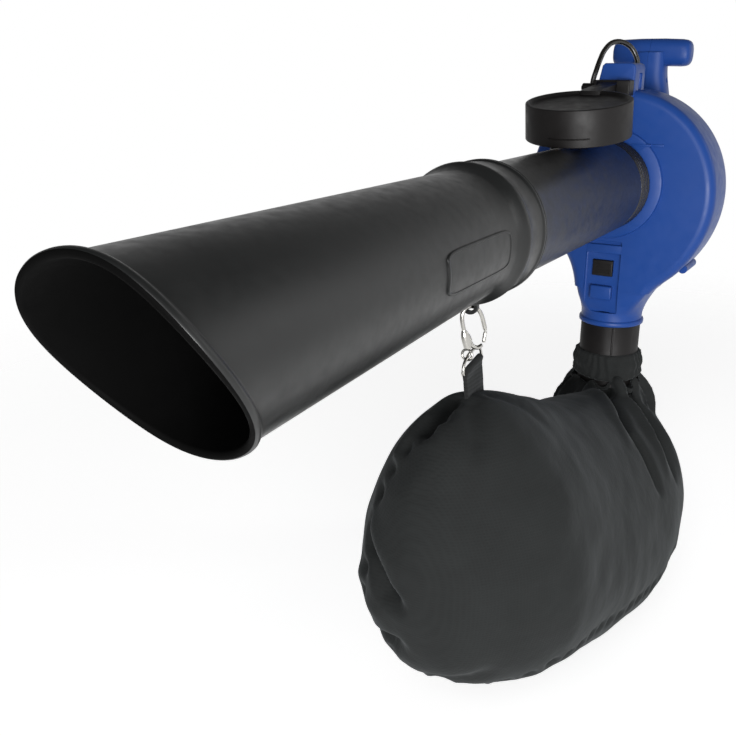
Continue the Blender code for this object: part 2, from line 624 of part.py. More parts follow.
def build_volute():
    """The front and rear halves of the blue volute, with the top block, bosses, neck and latch panel."""
    outer = scroll_body("scroll_outer", 0.0)
    combine(outer, neck_body("neck_outer", 0.0, OUTLET_END_Z + 0.0040), "UNION")
    lip = turned("neck_lip", [(SLEEVE_R - 0.010, OUTLET_END_Z), (OUTLET_R + 0.0006, OUTLET_END_Z),
                              (OUTLET_R + 0.0016, OUTLET_END_Z + 0.0015), (OUTLET_R + 0.0016, OUTLET_END_Z + LIP_HEIGHT - 0.001),
                              (SLEEVE_R - 0.010, OUTLET_END_Z + LIP_HEIGHT)],
                 centre=(OUTLET_X, PARTING_Y, 0.0), axis="Z", steps=24)
    combine(outer, lip, "UNION")
    half = BLOCK_WIDTH / 2
    block_outline = [(-half - 0.004, 0.104), (half, 0.104), (half, BLOCK_TOP_Z - 0.006), (half - 0.0018, BLOCK_TOP_Z - 0.0018),
                     (half - 0.006, BLOCK_TOP_Z), (-half + 0.010, BLOCK_TOP_Z), (-half + 0.0065, BLOCK_TOP_Z - 0.003)]
    top_block = prism("block_outer", block_outline, "Y", HOUSING_FRONT_Y - BLOCK_PROUD, PARTING_Y + BLOCK_TAB)
    combine(outer, top_block, "UNION")
    for i, (x, z) in enumerate(boss_places()[:3]):
        combine(outer, rod(f"boss_{i}", 0.0062, PARTING_Y - 0.0200, HOUSING_BACK_Y - 0.0060, centre=(x, 0, z), steps=14), "UNION")
    inlet_ring = turned("inlet_ring", [(NECK_R - 0.01, RING_FRONT_Y), (INLET_RING_R - 0.0015, RING_FRONT_Y),
                                       (INLET_RING_R, RING_FRONT_Y + 0.0015), (INLET_RING_R, HOUSING_FRONT_Y + 0.001),
                                       (NECK_R - 0.01, HOUSING_FRONT_Y + 0.001)])
    combine(outer, inlet_ring, "UNION")
    ledge = block("ledge", (0.041, HOUSING_FRONT_Y - 0.0016, 0.0530), (0.041 + LEDGE_LENGTH, HOUSING_FRONT_Y + 0.001, 0.0562))
    combine(outer, ledge, "UNION")
    combine(outer, panel_box("panel_recess", 0.0, PANEL_DEPTH))
    step_low = (BUTTON_X - BUTTON_WIDTH / 2, HOUSING_FRONT_Y - 0.0030, BUTTON_Z - BUTTON_HEIGHT / 2 - 0.0340)
    step_high = (BUTTON_X + BUTTON_WIDTH / 2 + 0.002, HOUSING_FRONT_Y + PANEL_DEPTH + 0.001, BUTTON_Z - BUTTON_HEIGHT / 2 - 0.0140)
    combine(outer, block("latch_step", step_low, step_high, rounding=0.0015, segments=1), "UNION")

    cavity = scroll_body("scroll_cavity", WALL)
    combine(cavity, neck_body("neck_cavity", WALL, OUTLET_END_Z - 0.02), "UNION")
    combine(cavity, panel_box("panel_backing", WALL, PANEL_DEPTH + WALL))
    combine(cavity, chamber_box("chamber_backing", WALL * 2, HOUSING_FRONT_Y, CHAMBER_BACK_Y + LATCH_PLATE + 0.0006))
    mount_posts = [rod("mount_post", 0.0068, IMPELLER_BACK_Y + 0.0035, HOUSING_BACK_Y, centre=(x, 0, 0), steps=14)
                   for x in (-MOTOR_EAR_X, MOTOR_EAR_X)]
    for post in mount_posts:
        combine(cavity, post)
    seat_wall = rod("bearing_post", BEARING_R + 0.0034, FRONT_BEARING_Y - 0.0050, HOUSING_BACK_Y, steps=16, phase=SEAM_SHIFT)
    combine(cavity, seat_wall)
    collar = turned("inlet_collar", [(NECK_R - 0.006, HOUSING_FRONT_Y), (NECK_R + WALL, HOUSING_FRONT_Y),
                                     (NECK_R + WALL, NECK_END_Y), (NECK_R - 0.006, NECK_END_Y)], phase=SEAM_SHIFT)
    combine(cavity, collar)

    combine(outer, cavity)
    neck_bore = rod("neck_bore", NECK_R + GAP, RING_FRONT_Y - 0.02, NECK_END_Y + 0.01, steps=ROUND_STEPS)
    combine(outer, neck_bore)
    combine(outer, chamber_box("button_window", RUNNING_GAP, HOUSING_FRONT_Y - 0.01, CHAMBER_Y + 0.001))
    combine(outer, chamber_box("button_chamber", BUTTON_FLANGE + RUNNING_GAP, CHAMBER_Y, CHAMBER_BACK_Y + 0.02))
    combine(outer, rod("bearing_pocket", BEARING_R + GAP, FRONT_BEARING_Y - GAP, HOUSING_BACK_Y + 0.01, steps=16))
    combine(outer, rod("shaft_hole", SHAFT_R + 0.0014, IMPELLER_BACK_Y - 0.001, HOUSING_BACK_Y + 0.01, steps=16))
    combine(outer, rod("relief_hole", RELIEF_FOOT_R - 0.0014, 0.10, 0.16, centre=(LEAD_EXIT_X, LEAD_EXIT_Y, 0), axis="Z", steps=14))
    for i, (x, z) in enumerate(boss_places()):
        combine(outer, rod(f"screw_bore_{i}", SCREW_HOLE_R, PARTING_Y - 0.0150, HOUSING_BACK_Y + 0.002, centre=(x, 0, z), steps=12))
    for x in (-MOTOR_EAR_X, MOTOR_EAR_X):
        combine(outer, rod("ear_bore", SCREW_HOLE_R, HOUSING_BACK_Y - 0.0085, HOUSING_BACK_Y + 0.01, centre=(x, 0, 0), steps=12))
    slot = block("block_slot", (half - 0.004, HOUSING_FRONT_Y + 0.020, 0.124), (half + 0.01, HOUSING_FRONT_Y + 0.034, 0.147))
    combine(outer, slot)

    halves = []
    limits = {"front_volute": (HOUSING_FRONT_Y - 0.05, PARTING_Y - GAP / 2), "rear_volute": (PARTING_Y + GAP / 2, HOUSING_BACK_Y + 0.05)}
    for name, (low_y, high_y) in limits.items():
        shell = bpy.data.objects.new(name, outer.data.copy())
        PARTS.objects.link(shell)
        shell.parent = MACHINE
        shell.data.materials.clear()
        shell.data.materials.append(BLUE_PLASTIC)
        for modifier in outer.modifiers:
            if modifier.type == "BOOLEAN":
                combine(shell, modifier.object, modifier.operation)
        combine(shell, block(f"{name}_side", (-0.4, low_y, -0.4), (0.4, high_y, 0.4)), "INTERSECT")
        merge_flat(shell)
        halves.append(shell)
    bpy.data.objects.remove(outer)
    for i, (x, z) in enumerate(boss_places()):
        seat = HOUSING_BACK_Y - 0.0060 if i < 3 else PARTING_Y + BLOCK_TAB
        screw(f"volute_screw_{i + 1}", x, z, seat + GAP, PARTING_Y - 0.0140)
    return halves


# Rear housing with the motor bell, the pillar and the T-grip

def motor_shape(name, inset, material=None):
    """The motor bell, drawn in by an inset."""
    front = MOTOR_FRONT_Y if not inset else MOTOR_FRONT_Y - 0.01
    back, turn = MOTOR_BACK_Y - inset, 0.010 - inset / 2
    radius = MOTOR_R - inset
    profile = [(0.0, front), (radius, front), (radius, back - turn), (radius - turn * 0.29, back - turn * 0.29),
               (radius - turn, back), (0.0, back)]
    return turned(name, profile, material, steps=24)


def pillar_shape(name, inset, material=None):
    """The pillar between the motor bell and the grip bar."""
    stations = [(0.030, 1.0, 1.0), (0.060, 0.86, 0.98), (0.090, 0.60, 0.94), (0.120, 0.30, 0.9), (0.145, 0.08, 0.88),
                (GRIP_Z, 0.0, 0.84)]
    rings = []
    for z, share, deep in stations:
        half_x = (PILLAR_TOP_WIDTH + share * (PILLAR_FOOT_WIDTH - PILLAR_TOP_WIDTH)) / 2 - inset
        half_y = PILLAR_DEPTH / 2 * deep - inset
        rings.append([(a, GRIP_Y - 0.006 + b, z) for a, b in oval(half_x, half_y, 3.2, 16)])
    return loft(name, rings, material)


def bar_shape(name, inset, material=None):
    """The grip bar, arched a little and rounded at both ends."""
    stations = [(1.0, 0.62), (0.965, 0.80), (0.90, 0.92), (0.76, 0.98), (0.30, 1.0)]
    stations = [(-x, size) for x, size in stations] + [(x, size) for x, size in reversed(stations)]
    rings = []
    for along, size in stations:
        half_z, half_y = BAR_HEIGHT / 2 * size - inset, BAR_DEPTH / 2 * size - inset
        x = along * (BAR_LENGTH / 2 - inset)
        sag = 0.0015 * along * along
        rings.append([(x, GRIP_Y + a, GRIP_Z - sag + b) for a, b in oval(half_y, half_z, 2.6, 16)])
    return loft(name, rings, material)


def grip_screw_places():
    """Gives the places, as y, z, of the screws that join the rear housing's halves."""
    return [(GRIP_Y - 0.006, GRIP_Z - 0.040), (GRIP_Y - 0.006, 0.078), (MOTOR_FRONT_Y + 0.012, -MOTOR_R - 0.0035),
            (MOTOR_BACK_Y - 0.024, -MOTOR_R - 0.0035)]


def build_rear_housing():
    """Left and right halves of the rear housing: bell, pillar, half of the bar each."""
    outer = motor_shape("bell_outer", 0.0)
    combine(outer, pillar_shape("pillar_outer", 0.0), "UNION")
    combine(outer, bar_shape("bar_outer", 0.0), "UNION")
    for x in (-MOTOR_EAR_X, MOTOR_EAR_X):
        combine(outer, rod("ear", 0.0072, MOTOR_FRONT_Y, MOTOR_FRONT_Y + 0.0060, centre=(x, 0, 0), steps=16), "UNION")
        combine(outer, block("ear_web", (min(x, 0.85 * x), MOTOR_FRONT_Y + 0.0002, -0.0072), (max(x, 0.85 * x), MOTOR_FRONT_Y + 0.0058, 0.0072)), "UNION")
    for y, _ in grip_screw_places()[2:]:
        combine(outer, rod("belly_boss", 0.0062, -0.012, 0.012, centre=(0, y, -MOTOR_R - 0.0035), axis="X", steps=14), "UNION")

    cavity = motor_shape("bell_cavity", WALL)
    combine(cavity, pillar_shape("pillar_cavity", WALL), "UNION")
    combine(cavity, bar_shape("bar_cavity", WALL), "UNION")
    for y, z in grip_screw_places()[:2]:
        combine(cavity, rod("pillar_post", 0.0055, -0.06, 0.06, centre=(0, y, z), axis="X", steps=12))
    combine(cavity, rod("rear_seat", BEARING_R + 0.0030, REAR_BEARING_Y - 0.0005, MOTOR_BACK_Y, steps=16, phase=SEAM_SHIFT))
    combine(cavity, turned("core_ribs", [(STATOR_R + GAP, CORE_START_Y), (MOTOR_R, CORE_START_Y), (MOTOR_R, CORE_START_Y + 0.006),
                                         (STATOR_R + GAP, CORE_START_Y + 0.006)], steps=16))
    combine(outer, cavity)
    combine(outer, rod("rear_pocket", BEARING_R + GAP, REAR_BEARING_Y - GAP - 0.002, REAR_BEARING_Y + BEARING_WIDTH + GAP, steps=16))
    for x in (-MOTOR_EAR_X, MOTOR_EAR_X):
        combine(outer, rod("ear_hole", SCREW_HOLE_R, MOTOR_FRONT_Y - 0.01, MOTOR_FRONT_Y + 0.02, centre=(x, 0, 0), steps=12))
    for y, z in grip_screw_places():
        combine(outer, rod("half_bore", SCREW_HOLE_R, -0.0100, 0.08, centre=(0, y, z), axis="X", steps=12))
    for y, z in grip_screw_places()[:2]:
        combine(outer, rod("head_bore", SCREW_HEAD_R + GAP, 0.0030, 0.08, centre=(0, y, z), axis="X", steps=12))
    for i in range(4):
        z = -0.0195 + 0.013 * i
        combine(outer, block("side_vent", (-0.09, MOTOR_BACK_Y - 0.050, z - 0.002), (0.09, MOTOR_BACK_Y - 0.020, z + 0.002)))
    window_y = GRIP_Y - 0.006 + PILLAR_DEPTH / 2
    combine(outer, block("switch_window", (-SWITCH_WIDTH / 2 - GAP, window_y - 0.020, SWITCH_Z - SWITCH_HEIGHT / 2 - GAP),
                         (SWITCH_WIDTH / 2 + GAP, window_y + 0.010, SWITCH_Z + SWITCH_HEIGHT / 2 + GAP)))

    limits = {"rear_housing_left": (GAP / 2, 0.2), "rear_housing_right": (-0.2, -GAP / 2)}
    for name, (low_x, high_x) in limits.items():
        shell = bpy.data.objects.new(name, outer.data.copy())
        PARTS.objects.link(shell)
        shell.parent = MACHINE
        shell.data.materials.clear()
        shell.data.materials.append(BLUE_PLASTIC)
        for modifier in outer.modifiers:
            if modifier.type == "BOOLEAN":
                combine(shell, modifier.object, modifier.operation)
        combine(shell, block(f"{name}_side", (low_x, 0.0, -0.4), (high_x, 0.4, 0.4)), "INTERSECT")
        merge_flat(shell)
    bpy.data.objects.remove(outer)

    for i, (y, z) in enumerate(grip_screw_places()):
        seat = 0.0030 if i < 2 else 0.012 + GAP
        profile = [(0.0, -0.009), (SCREW_R, -0.008), (SCREW_R, seat + GAP), (SCREW_HEAD_R, seat + GAP),
                   (SCREW_HEAD_R, seat + GAP + SCREW_HEAD), (0.0, seat + GAP + SCREW_HEAD)]
        turned(f"housing_screw_{i + 1}", profile, STEEL, centre=(0, y, z), axis="X", steps=10)
    for side, x in (("right", -MOTOR_EAR_X), ("left", MOTOR_EAR_X)):
        screw(f"motor_screw_{side}", x, 0.0, MOTOR_FRONT_Y + 0.0060 + GAP, HOUSING_BACK_Y - 0.0080)


# Motor and fan

def build_rotor():
    """The turning pieces: shaft, fan wheel, nut, armature, commutator and cooling fan."""
    rear_end = REAR_BEARING_Y + BEARING_WIDTH - 0.0005
    rod("motor_shaft", SHAFT_R, BLADE_FRONT_Y - 0.004, rear_end, STEEL, steps=16)
    bore = SHAFT_R + GAP
    hub_front = BLADE_FRONT_Y + 0.010
    hub = turned("impeller", [(bore, hub_front), (HUB_R * 0.62, hub_front), (HUB_R, hub_front + 0.014), (HUB_R + 0.004, IMPELLER_BACK_Y - IMPELLER_PLATE),
                              (IMPELLER_R, IMPELLER_BACK_Y - IMPELLER_PLATE), (IMPELLER_R, IMPELLER_BACK_Y), (bore, IMPELLER_BACK_Y)],
                 FAN_NYLON, steps=28)
    for i in range(BLADE_COUNT):
        combine(hub, blade(i), "UNION")
    combine(hub, rod("impeller_bore", bore, BLADE_FRONT_Y - 0.02, HOUSING_BACK_Y, steps=16))
    merge_flat(hub)
    turned("impeller_washer", [(bore, hub_front - 0.0015 - GAP), (0.0085, hub_front - 0.0015 - GAP), (0.0085, hub_front - GAP), (bore, hub_front - GAP)],
           STEEL, steps=16)
    nut_back = hub_front - 0.0015 - 2 * GAP
    nut = rod("impeller_nut", 0.0075, nut_back - 0.0060, nut_back, STEEL, steps=6)
    combine(nut, rod("nut_bore", bore, nut_back - 0.02, nut_back + 0.02, steps=16))
    turned("armature", [(bore, CORE_START_Y - 0.009), (ROTOR_R * 0.72, CORE_START_Y - 0.008), (ROTOR_R * 0.86, CORE_START_Y - 0.0005),
                        (ROTOR_R, CORE_START_Y), (ROTOR_R, CORE_END_Y), (ROTOR_R * 0.86, CORE_END_Y + 0.0005),
                        (ROTOR_R * 0.66, CORE_END_Y + 0.008), (bore, CORE_END_Y + 0.009)], COPPER, steps=12)
    turned("commutator", [(bore, COMMUTATOR_Y), (COMMUTATOR_R, COMMUTATOR_Y), (COMMUTATOR_R, COMMUTATOR_Y + COMMUTATOR_LENGTH),
                          (bore, COMMUTATOR_Y + COMMUTATOR_LENGTH)], COPPER, steps=12)
    fan_back = CORE_START_Y - 0.0105
    fan = turned("cooling_fan", [(bore, fan_back - 0.007), (0.010, fan_back - 0.007), (0.011, fan_back - 0.002), (COOLING_FAN_R, fan_back - 0.0015),
                                 (COOLING_FAN_R, fan_back), (bore, fan_back)], FAN_NYLON, steps=12)
    for i in range(6):
        vane = block("vane", (0.0135, fan_back - 0.0075, -0.0008), (COOLING_FAN_R - 0.001, fan_back - 0.001, 0.0008))
        vane.data.transform(Matrix.Rotation(i * math.pi / 3, 4, "Y"))
        combine(fan, vane, "UNION")


def blade(index):
    """One swept blade of the fan wheel, standing on its back plate."""
    sweep = math.radians(34)
    start = 2 * math.pi * index / BLADE_COUNT
    front, back = [], []
    for i in range(4):
        t = i / 3
        radius = BLADE_ROOT_R + t * (IMPELLER_R - 0.0015 - BLADE_ROOT_R)
        angle = start - sweep * t * t
        half = BLADE_THICKNESS / 2 / radius
        front.append((radius * math.cos(angle + half), radius * math.sin(angle + half)))
        back.append((radius * math.cos(angle - half), radius * math.sin(angle - half)))
    return prism(f"blade_{index}", front + list(reversed(back)), "Y", BLADE_FRONT_Y, IMPELLER_BACK_Y - IMPELLER_PLATE / 2)


def bearing(name, start_y):
    """A ball bearing as one ring, with a groove between its races."""
    inner, outer, width = SHAFT_R + RUNNING_GAP, BEARING_R, BEARING_WIDTH
    third = (outer - inner) / 3
    profile = [(inner, start_y), (outer, start_y), (outer, start_y + width), (outer - third, start_y + width),
               (outer - third, start_y + width - 0.001), (inner + third, start_y + width - 0.001),
               (inner + third, start_y + width), (inner, start_y + width)]
    return turned(name, profile, STEEL, steps=12)


def build_stator():
    """Field core, field coils, brush holders and carbon brushes."""
    inner = ROTOR_R + STATOR_GAP
    turned("field_core", [(inner, CORE_START_Y), (STATOR_R, CORE_START_Y), (STATOR_R, CORE_END_Y), (inner, CORE_END_Y)], STEEL, steps=16)
    coils = {"field_coil_front": CORE_START_Y - GAP - 0.0080, "field_coil_rear": CORE_END_Y + GAP}
    for name, low in coils.items():
        high = low + 0.0080
        turned(name, [(inner + 0.003, low), (STATOR_R - 0.005, low), (STATOR_R - 0.003, (low + high) / 2),
                      (STATOR_R - 0.005, high), (inner + 0.003, high)], COPPER, steps=12)
    middle = COMMUTATOR_Y + COMMUTATOR_LENGTH / 2
    for name, side in (("right", -1), ("left", 1)):
        ends = sorted((side * (COMMUTATOR_R + 0.0025), side * (MOTOR_R - WALL - 0.0009)))
        holder = block(f"brush_holder_{name}", (ends[0], middle - 0.0060, -0.0050), (ends[1], middle + 0.0060, 0.0050), BRASS)
        hole = sorted((side * (COMMUTATOR_R - 0.005), side * (MOTOR_R - WALL - 0.0040)))
        combine(holder, block("holder_hole", (hole[0], middle - 0.0040 - GAP, -0.0030 - GAP), (hole[1], middle + 0.0040 + GAP, 0.0030 + GAP)))
        ends = sorted((side * (COMMUTATOR_R + GAP), side * (COMMUTATOR_R + 0.0180)))
        block(f"carbon_brush_{name}", (ends[0], middle - 0.0040, -0.0030), (ends[1], middle + 0.0040, 0.0030), CARBON)
    bearing("front_bearing", FRONT_BEARING_Y)
    bearing("rear_bearing", REAR_BEARING_Y)


# Outlet sleeve and latch

def build_outlet():
    """The black outlet sleeve with its seam rib, and the neck's latch."""
    top = OUTLET_END_Z + SLEEVE_INSERT
    spigot = SLEEVE_R - SLEEVE_WALL - 0.0010 - GAP
    bore = spigot - SLEEVE_WALL
    shoulder = OUTLET_END_Z - GAP
    profile = [(bore, top), (spigot, top), (spigot, shoulder), (SLEEVE_R, shoulder), (SLEEVE_R, SLEEVE_END_Z), (bore, SLEEVE_END_Z)]
    sleeve = turned("outlet_sleeve", profile, COVER_PLASTIC, centre=(OUTLET_X, SLEEVE_Y, 0), axis="Z", steps=ROUND_STEPS)
    angle = math.radians(-68)
    rib = rod("seam_rib", 0.0016, CUFF_TOP_Z + 0.0010, shoulder - 0.0005, axis="Z", steps=8,
              centre=(OUTLET_X + (SLEEVE_R - 0.0002) * math.cos(angle), SLEEVE_Y + (SLEEVE_R - 0.0002) * math.sin(angle), 0))
    combine(sleeve, rib, "UNION")
    merge_flat(sleeve)

    face = BUTTON_FACE_Y - BUTTON_PROUD
    button = block("latch_button", (BUTTON_X - BUTTON_WIDTH / 2, face, BUTTON_Z - BUTTON_HEIGHT / 2),
                   (BUTTON_X + BUTTON_WIDTH / 2, CHAMBER_Y + GAP + BUTTON_FLANGE, BUTTON_Z + BUTTON_HEIGHT / 2), COVER_PLASTIC,
                   origin=(BUTTON_X, BUTTON_FACE_Y, BUTTON_Z))
    flange = chamber_box("button_flange", BUTTON_FLANGE, CHAMBER_Y + GAP, CHAMBER_Y + GAP + BUTTON_FLANGE)
    combine(button, flange, "UNION")
    plate = chamber_box("latch_plate", BUTTON_FLANGE + RUNNING_GAP - GAP, CHAMBER_BACK_Y, CHAMBER_BACK_Y + LATCH_PLATE)
    CUTTERS.objects.unlink(plate)
    PARTS.objects.link(plate)
    plate.hide_render = False
    plate.display_type = "TEXTURED"
    plate.data.materials.append(BLUE_PLASTIC)
    end = CHAMBER_BACK_Y - GAP - SPRING_WIRE_R
    start = end - SPRING_PRESSED
    points = []
    for i in range(SPRING_TURNS * 10 + 1):
        angle = 2 * math.pi * i / 10
        y = start + (end - start) * i / (SPRING_TURNS * 10)
        points.append((BUTTON_X + SPRING_R * math.cos(angle), y, BUTTON_Z + SPRING_R * math.sin(angle)))
    wire("latch_spring", points, SPRING_WIRE_R, STEEL, sides=0)


# Inlet cover

def build_cover():
    """The hinged inlet cover, folded up over the tube, with its bracket and pin."""
    tilt = math.radians(COVER_TILT)
    top = 0.0
    skirt = -COVER_HEIGHT
    profile = [(0.0, top - 0.0040), (COVER_R - 0.0060, top - 0.0040), (COVER_R - 0.0045, top), (COVER_R - 0.0012, top),
               (COVER_R, top - 0.0012), (COVER_R, skirt), (COVER_R - COVER_WALL, skirt), (COVER_R - COVER_WALL, top - 0.0066),
               (0.0, top - 0.0066)]
    cup = turned("inlet_cover", profile, COVER_PLASTIC, axis="Z", steps=36)
    centre_z = TUBE_R + COVER_HEIGHT * math.cos(tilt) + COVER_R * math.sin(tilt) + GAP + 0.0006
    turn = Matrix.Translation((0.0, COVER_Y, centre_z)) @ Matrix.Rotation(tilt, 4, "X")
    cup.data.transform(turn)
    tab = block("cover_tab", (0.010, -COVER_R - 0.0016, skirt + 0.0004), (0.046, -COVER_R + 0.012, skirt + 0.0030))
    tab.data.transform(turn @ Matrix.Rotation(math.radians(-22), 4, "Z"))
    low_x, high_x = KNUCKLE_X - KNUCKLE_WIDTH / 2, KNUCKLE_X + KNUCKLE_WIDTH / 2
    rim_y = COVER_Y + (COVER_R - 0.010) * math.cos(tilt)
    rim_z = centre_z + (COVER_R - 0.010) * math.sin(tilt)
    arm_outline = [(rim_y, rim_z - 0.0045), (COVER_Y + COVER_R * math.cos(tilt) + 0.001, rim_z - 0.009), (HINGE_Y - 0.0040, HINGE_Z - KNUCKLE_R + 0.0014),
                   (HINGE_Y - 0.0040, HINGE_Z + KNUCKLE_R - 0.0014), (COVER_Y + COVER_R + 0.004, rim_z + 0.0030), (rim_y, rim_z + 0.0008)]
    arm = prism("cover_arm", arm_outline, "X", low_x + 0.0001, high_x - 0.0001)
    knuckle = rod("cover_knuckle", KNUCKLE_R, low_x, high_x, centre=(0, HINGE_Y, HINGE_Z), axis="X", steps=20)
    for piece in (arm, knuckle):
        combine(cup, piece, "UNION")
    combine(cup, rod("pin_hole", HINGE_PIN_R + RUNNING_GAP, low_x - 0.01, high_x + 0.01, centre=(0, HINGE_Y, HINGE_Z), axis="X", steps=16))
    merge_flat(cup)
    place_on_axis(cup, (0.0, HINGE_Y, HINGE_Z))

    back = HOUSING_FRONT_Y - BLOCK_PROUD - GAP
    bracket = block("hinge_bracket", (BRACKET_X[0], BRACKET_FRONT_Y, BRACKET_Z[0]), (BRACKET_X[1], back, BRACKET_Z[1]), COVER_PLASTIC)
    ear = block("bracket_ear", (EAR_X, HINGE_Y - 0.0068, HINGE_Z - 0.0066), (BRACKET_X[0] + 0.002, HINGE_Y + 0.0052, HINGE_Z + 0.0066))
    combine(bracket, ear, "UNION")
    clear = KNUCKLE_R + 0.0012
    combine(bracket, block("knuckle_slot", (low_x - RUNNING_GAP, BRACKET_FRONT_Y - 0.02, BRACKET_Z[0] - 0.01),
                           (high_x + RUNNING_GAP, HINGE_Y + clear, BRACKET_Z[1] + 0.01)))
    combine(bracket, rod("bracket_hole", HINGE_PIN_R + GAP, EAR_X - 0.01, BRACKET_X[1] - 0.004, centre=(0, HINGE_Y, HINGE_Z), axis="X", steps=16))
    rod("hinge_pin", HINGE_PIN_R, EAR_X - 0.0015, BRACKET_X[1] - 0.004 - GAP, STEEL, centre=(0, HINGE_Y, HINGE_Z), axis="X", steps=16)
    return cup


def place_on_axis(obj, point):
    """Moves a part's origin to a joint's axis and leaves its shape where it is."""
    obj.data.transform(Matrix.Translation(obj.location - Vector(point)))
    obj.location = Vector(point)


# Lead

def lead_route():
    """Gives the lead's free loop, from its strain relief over the top block to the tube's neck."""
    start_z = relief_foot_z() + RELIEF_LENGTH + GAP
    return [(LEAD_EXIT_X, LEAD_EXIT_Y, start_z), (LEAD_EXIT_X, LEAD_EXIT_Y, start_z + 0.009), (0.0050, 0.1100, 0.1742),
            (-0.0018, 0.1050, 0.1830), (-0.0115, 0.0950, 0.1880), (-0.0202, 0.0830, 0.1858), (-0.0252, 0.0700, 0.1758),
            (-0.0267, 0.0580, 0.1627), (-0.0280, 0.0502, 0.1500), (-0.0297, 0.0463, 0.1385), (-0.0303, 0.0455, 0.1270),
            (-0.0300, 0.0447, 0.1130), (-0.0285, 0.0400, 0.0985), (-0.0240, 0.0300, 0.0840), (-0.0150, 0.0180, 0.0735),
            (-0.0065, 0.0078, 0.0676)]


def relief_foot_z():
    """Gives the height of the scroll's top wall under the strain relief."""
    return math.sqrt(scroll_radius(80.0) ** 2 - LEAD_EXIT_X ** 2) + 0.0008


def winding_points():
    """Gives the lead's turns round the tube's neck, clockwise from the front, drifting towards the housing."""
    first = math.radians(78)
    low = LEAD_R + 0.0006
    drift = LEAD_PITCH
    points = []
    for i in range(round(LEAD_TURNS * LEAD_POINTS_PER_TURN) + 1):
        turn = i / LEAD_POINTS_PER_TURN
        angle = first - 2 * math.pi * turn
        points.append(Vector((WINDING_R * math.cos(angle), low + drift * turn, WINDING_R * math.sin(angle))))
    run = Vector((math.sin(angle), 0, -math.cos(angle)))
    return points + [points[-1] + run * LEAD_TAIL * share for share in (0.5, 1.0)]


def least_gap(points, diameter, skip):
    """Measures the least gap between stretches of a tube that are not neighbours along it."""
    least = 1.0
    for i, a in enumerate(points):
        for b in points[i + skip:]:
            least = min(least, (a - b).length - diameter)
    return least


def build_lead():
    """Strain relief, free loop, winding round the neck, and the plug tucked on the far side."""
    foot = relief_foot_z()
    relief = [(LEAD_R + GAP, foot - 0.0004), (RELIEF_FOOT_R - 0.0014 - GAP, foot - 0.0004), (RELIEF_FOOT_R - 0.0014 - GAP, foot),
              (RELIEF_FOOT_R + 0.001, foot), (RELIEF_FOOT_R, foot + 0.003), (LEAD_R + 0.0022, foot + RELIEF_LENGTH * 0.5),
              (LEAD_R + 0.0010, foot + RELIEF_LENGTH), (0.0, foot + RELIEF_LENGTH), (0.0, foot + RELIEF_LENGTH - 0.004),
              (LEAD_R + GAP, foot + RELIEF_LENGTH - 0.004)]
    turned("strain_relief", relief, LEAD_SHEATH, centre=(LEAD_EXIT_X, LEAD_EXIT_Y, 0), axis="Z", steps=14)

    turns = winding_points()
    print("least gap in the winding, mm:", round(least_gap(turns, 2 * LEAD_R, LEAD_POINTS_PER_TURN // 2) * 1000, 3))
    wire("lead_winding", turns, LEAD_R, LEAD_SHEATH, sides=1)
    route = lead_route()
    along = (turns[0] - turns[1]).normalized()
    last = turns[0] + along * GAP
    before = turns[0] + along * 0.009 + Vector((0, 0, 0.0006))
    wire("lead_loop", smooth_route(route + [before, last], 0.0085), LEAD_R, LEAD_SHEATH, sides=2)

    tail = turns[-1]
    foot = turns[-3]
    clip = block("lead_clip", (foot.x - LEAD_R - CLIP_WALL, foot.y - LEAD_PITCH - 0.0030, foot.z + 0.0060),
                 (foot.x + LEAD_R + CLIP_WALL, foot.y + LEAD_R + CLIP_WALL - 0.0010, foot.z + 0.0140), BLACK_PLASTIC)
    combine(clip, wire("clip_tail", turns[-4:], LEAD_R + GAP, sides=4))
    near = len(turns) - 3 - LEAD_POINTS_PER_TURN
    combine(clip, wire("clip_turn", turns[near - 4:near + 5], LEAD_R + GAP, sides=4))
    combine(clip, rod("clip_neck", NECK_R + GAP, 0.0, HOUSING_FRONT_Y, steps=ROUND_STEPS))
    run = (turns[-1] - turns[-2]).normalized()
    base = tail + run * GAP
    plug = loft("plug_body", [plug_ring(base + run * along_plug, run, size) for along_plug, size in
                              ((0.0, 0.24), (0.006, 0.30), (0.011, 0.62), (0.016, 1.0), (PLUG_LENGTH, 1.0))], LEAD_SHEATH)
    side = run.cross(Vector((0, 1, 0))).normalized()
    out = -side if side.x > 0 else side
    for name, shift in (("front", -0.0062), ("rear", 0.0062)):
        start = base + run * (PLUG_LENGTH + GAP) + out * (PLUG_DEPTH / 2 - LEAD_R + 0.0020) + Vector((0, shift - PLUG_SHIFT, 0))
        corners = [start + side * a + Vector((0, b, 0)) for a, b in ((-0.0031, -0.0008), (0.0031, -0.0008), (0.0031, 0.0008), (-0.0031, 0.0008))]
        loft(f"plug_prong_{name}", [corners, [c + run * PRONG_LENGTH for c in corners]], BRASS)
    return plug


def plug_ring(centre, run, size):
    """Gives one section of the plug, wide along the machine."""
    side = run.cross(Vector((0, 1, 0))).normalized()
    half_a, half_b = PLUG_DEPTH / 2 * size, PLUG_WIDTH / 2 * size
    out = -side if side.x > 0 else side
    share = max(0.0, (size - 0.3) / 0.7)
    shift = out * share * (PLUG_DEPTH / 2 - LEAD_R + 0.0020) - Vector((0, share * PLUG_SHIFT, 0))
    return [centre + shift + out * a + Vector((0, b, 0)) for a, b in oval(half_a, half_b, 3.0, 16)]


# Bag hanger

def hook_point(along, z):
    """Gives a point of the snap hook's plane, which passes through the lug's hole."""
    return Vector((math.cos(HOOK_TURN) * along, LUG_Y + math.sin(HOOK_TURN) * along, z))


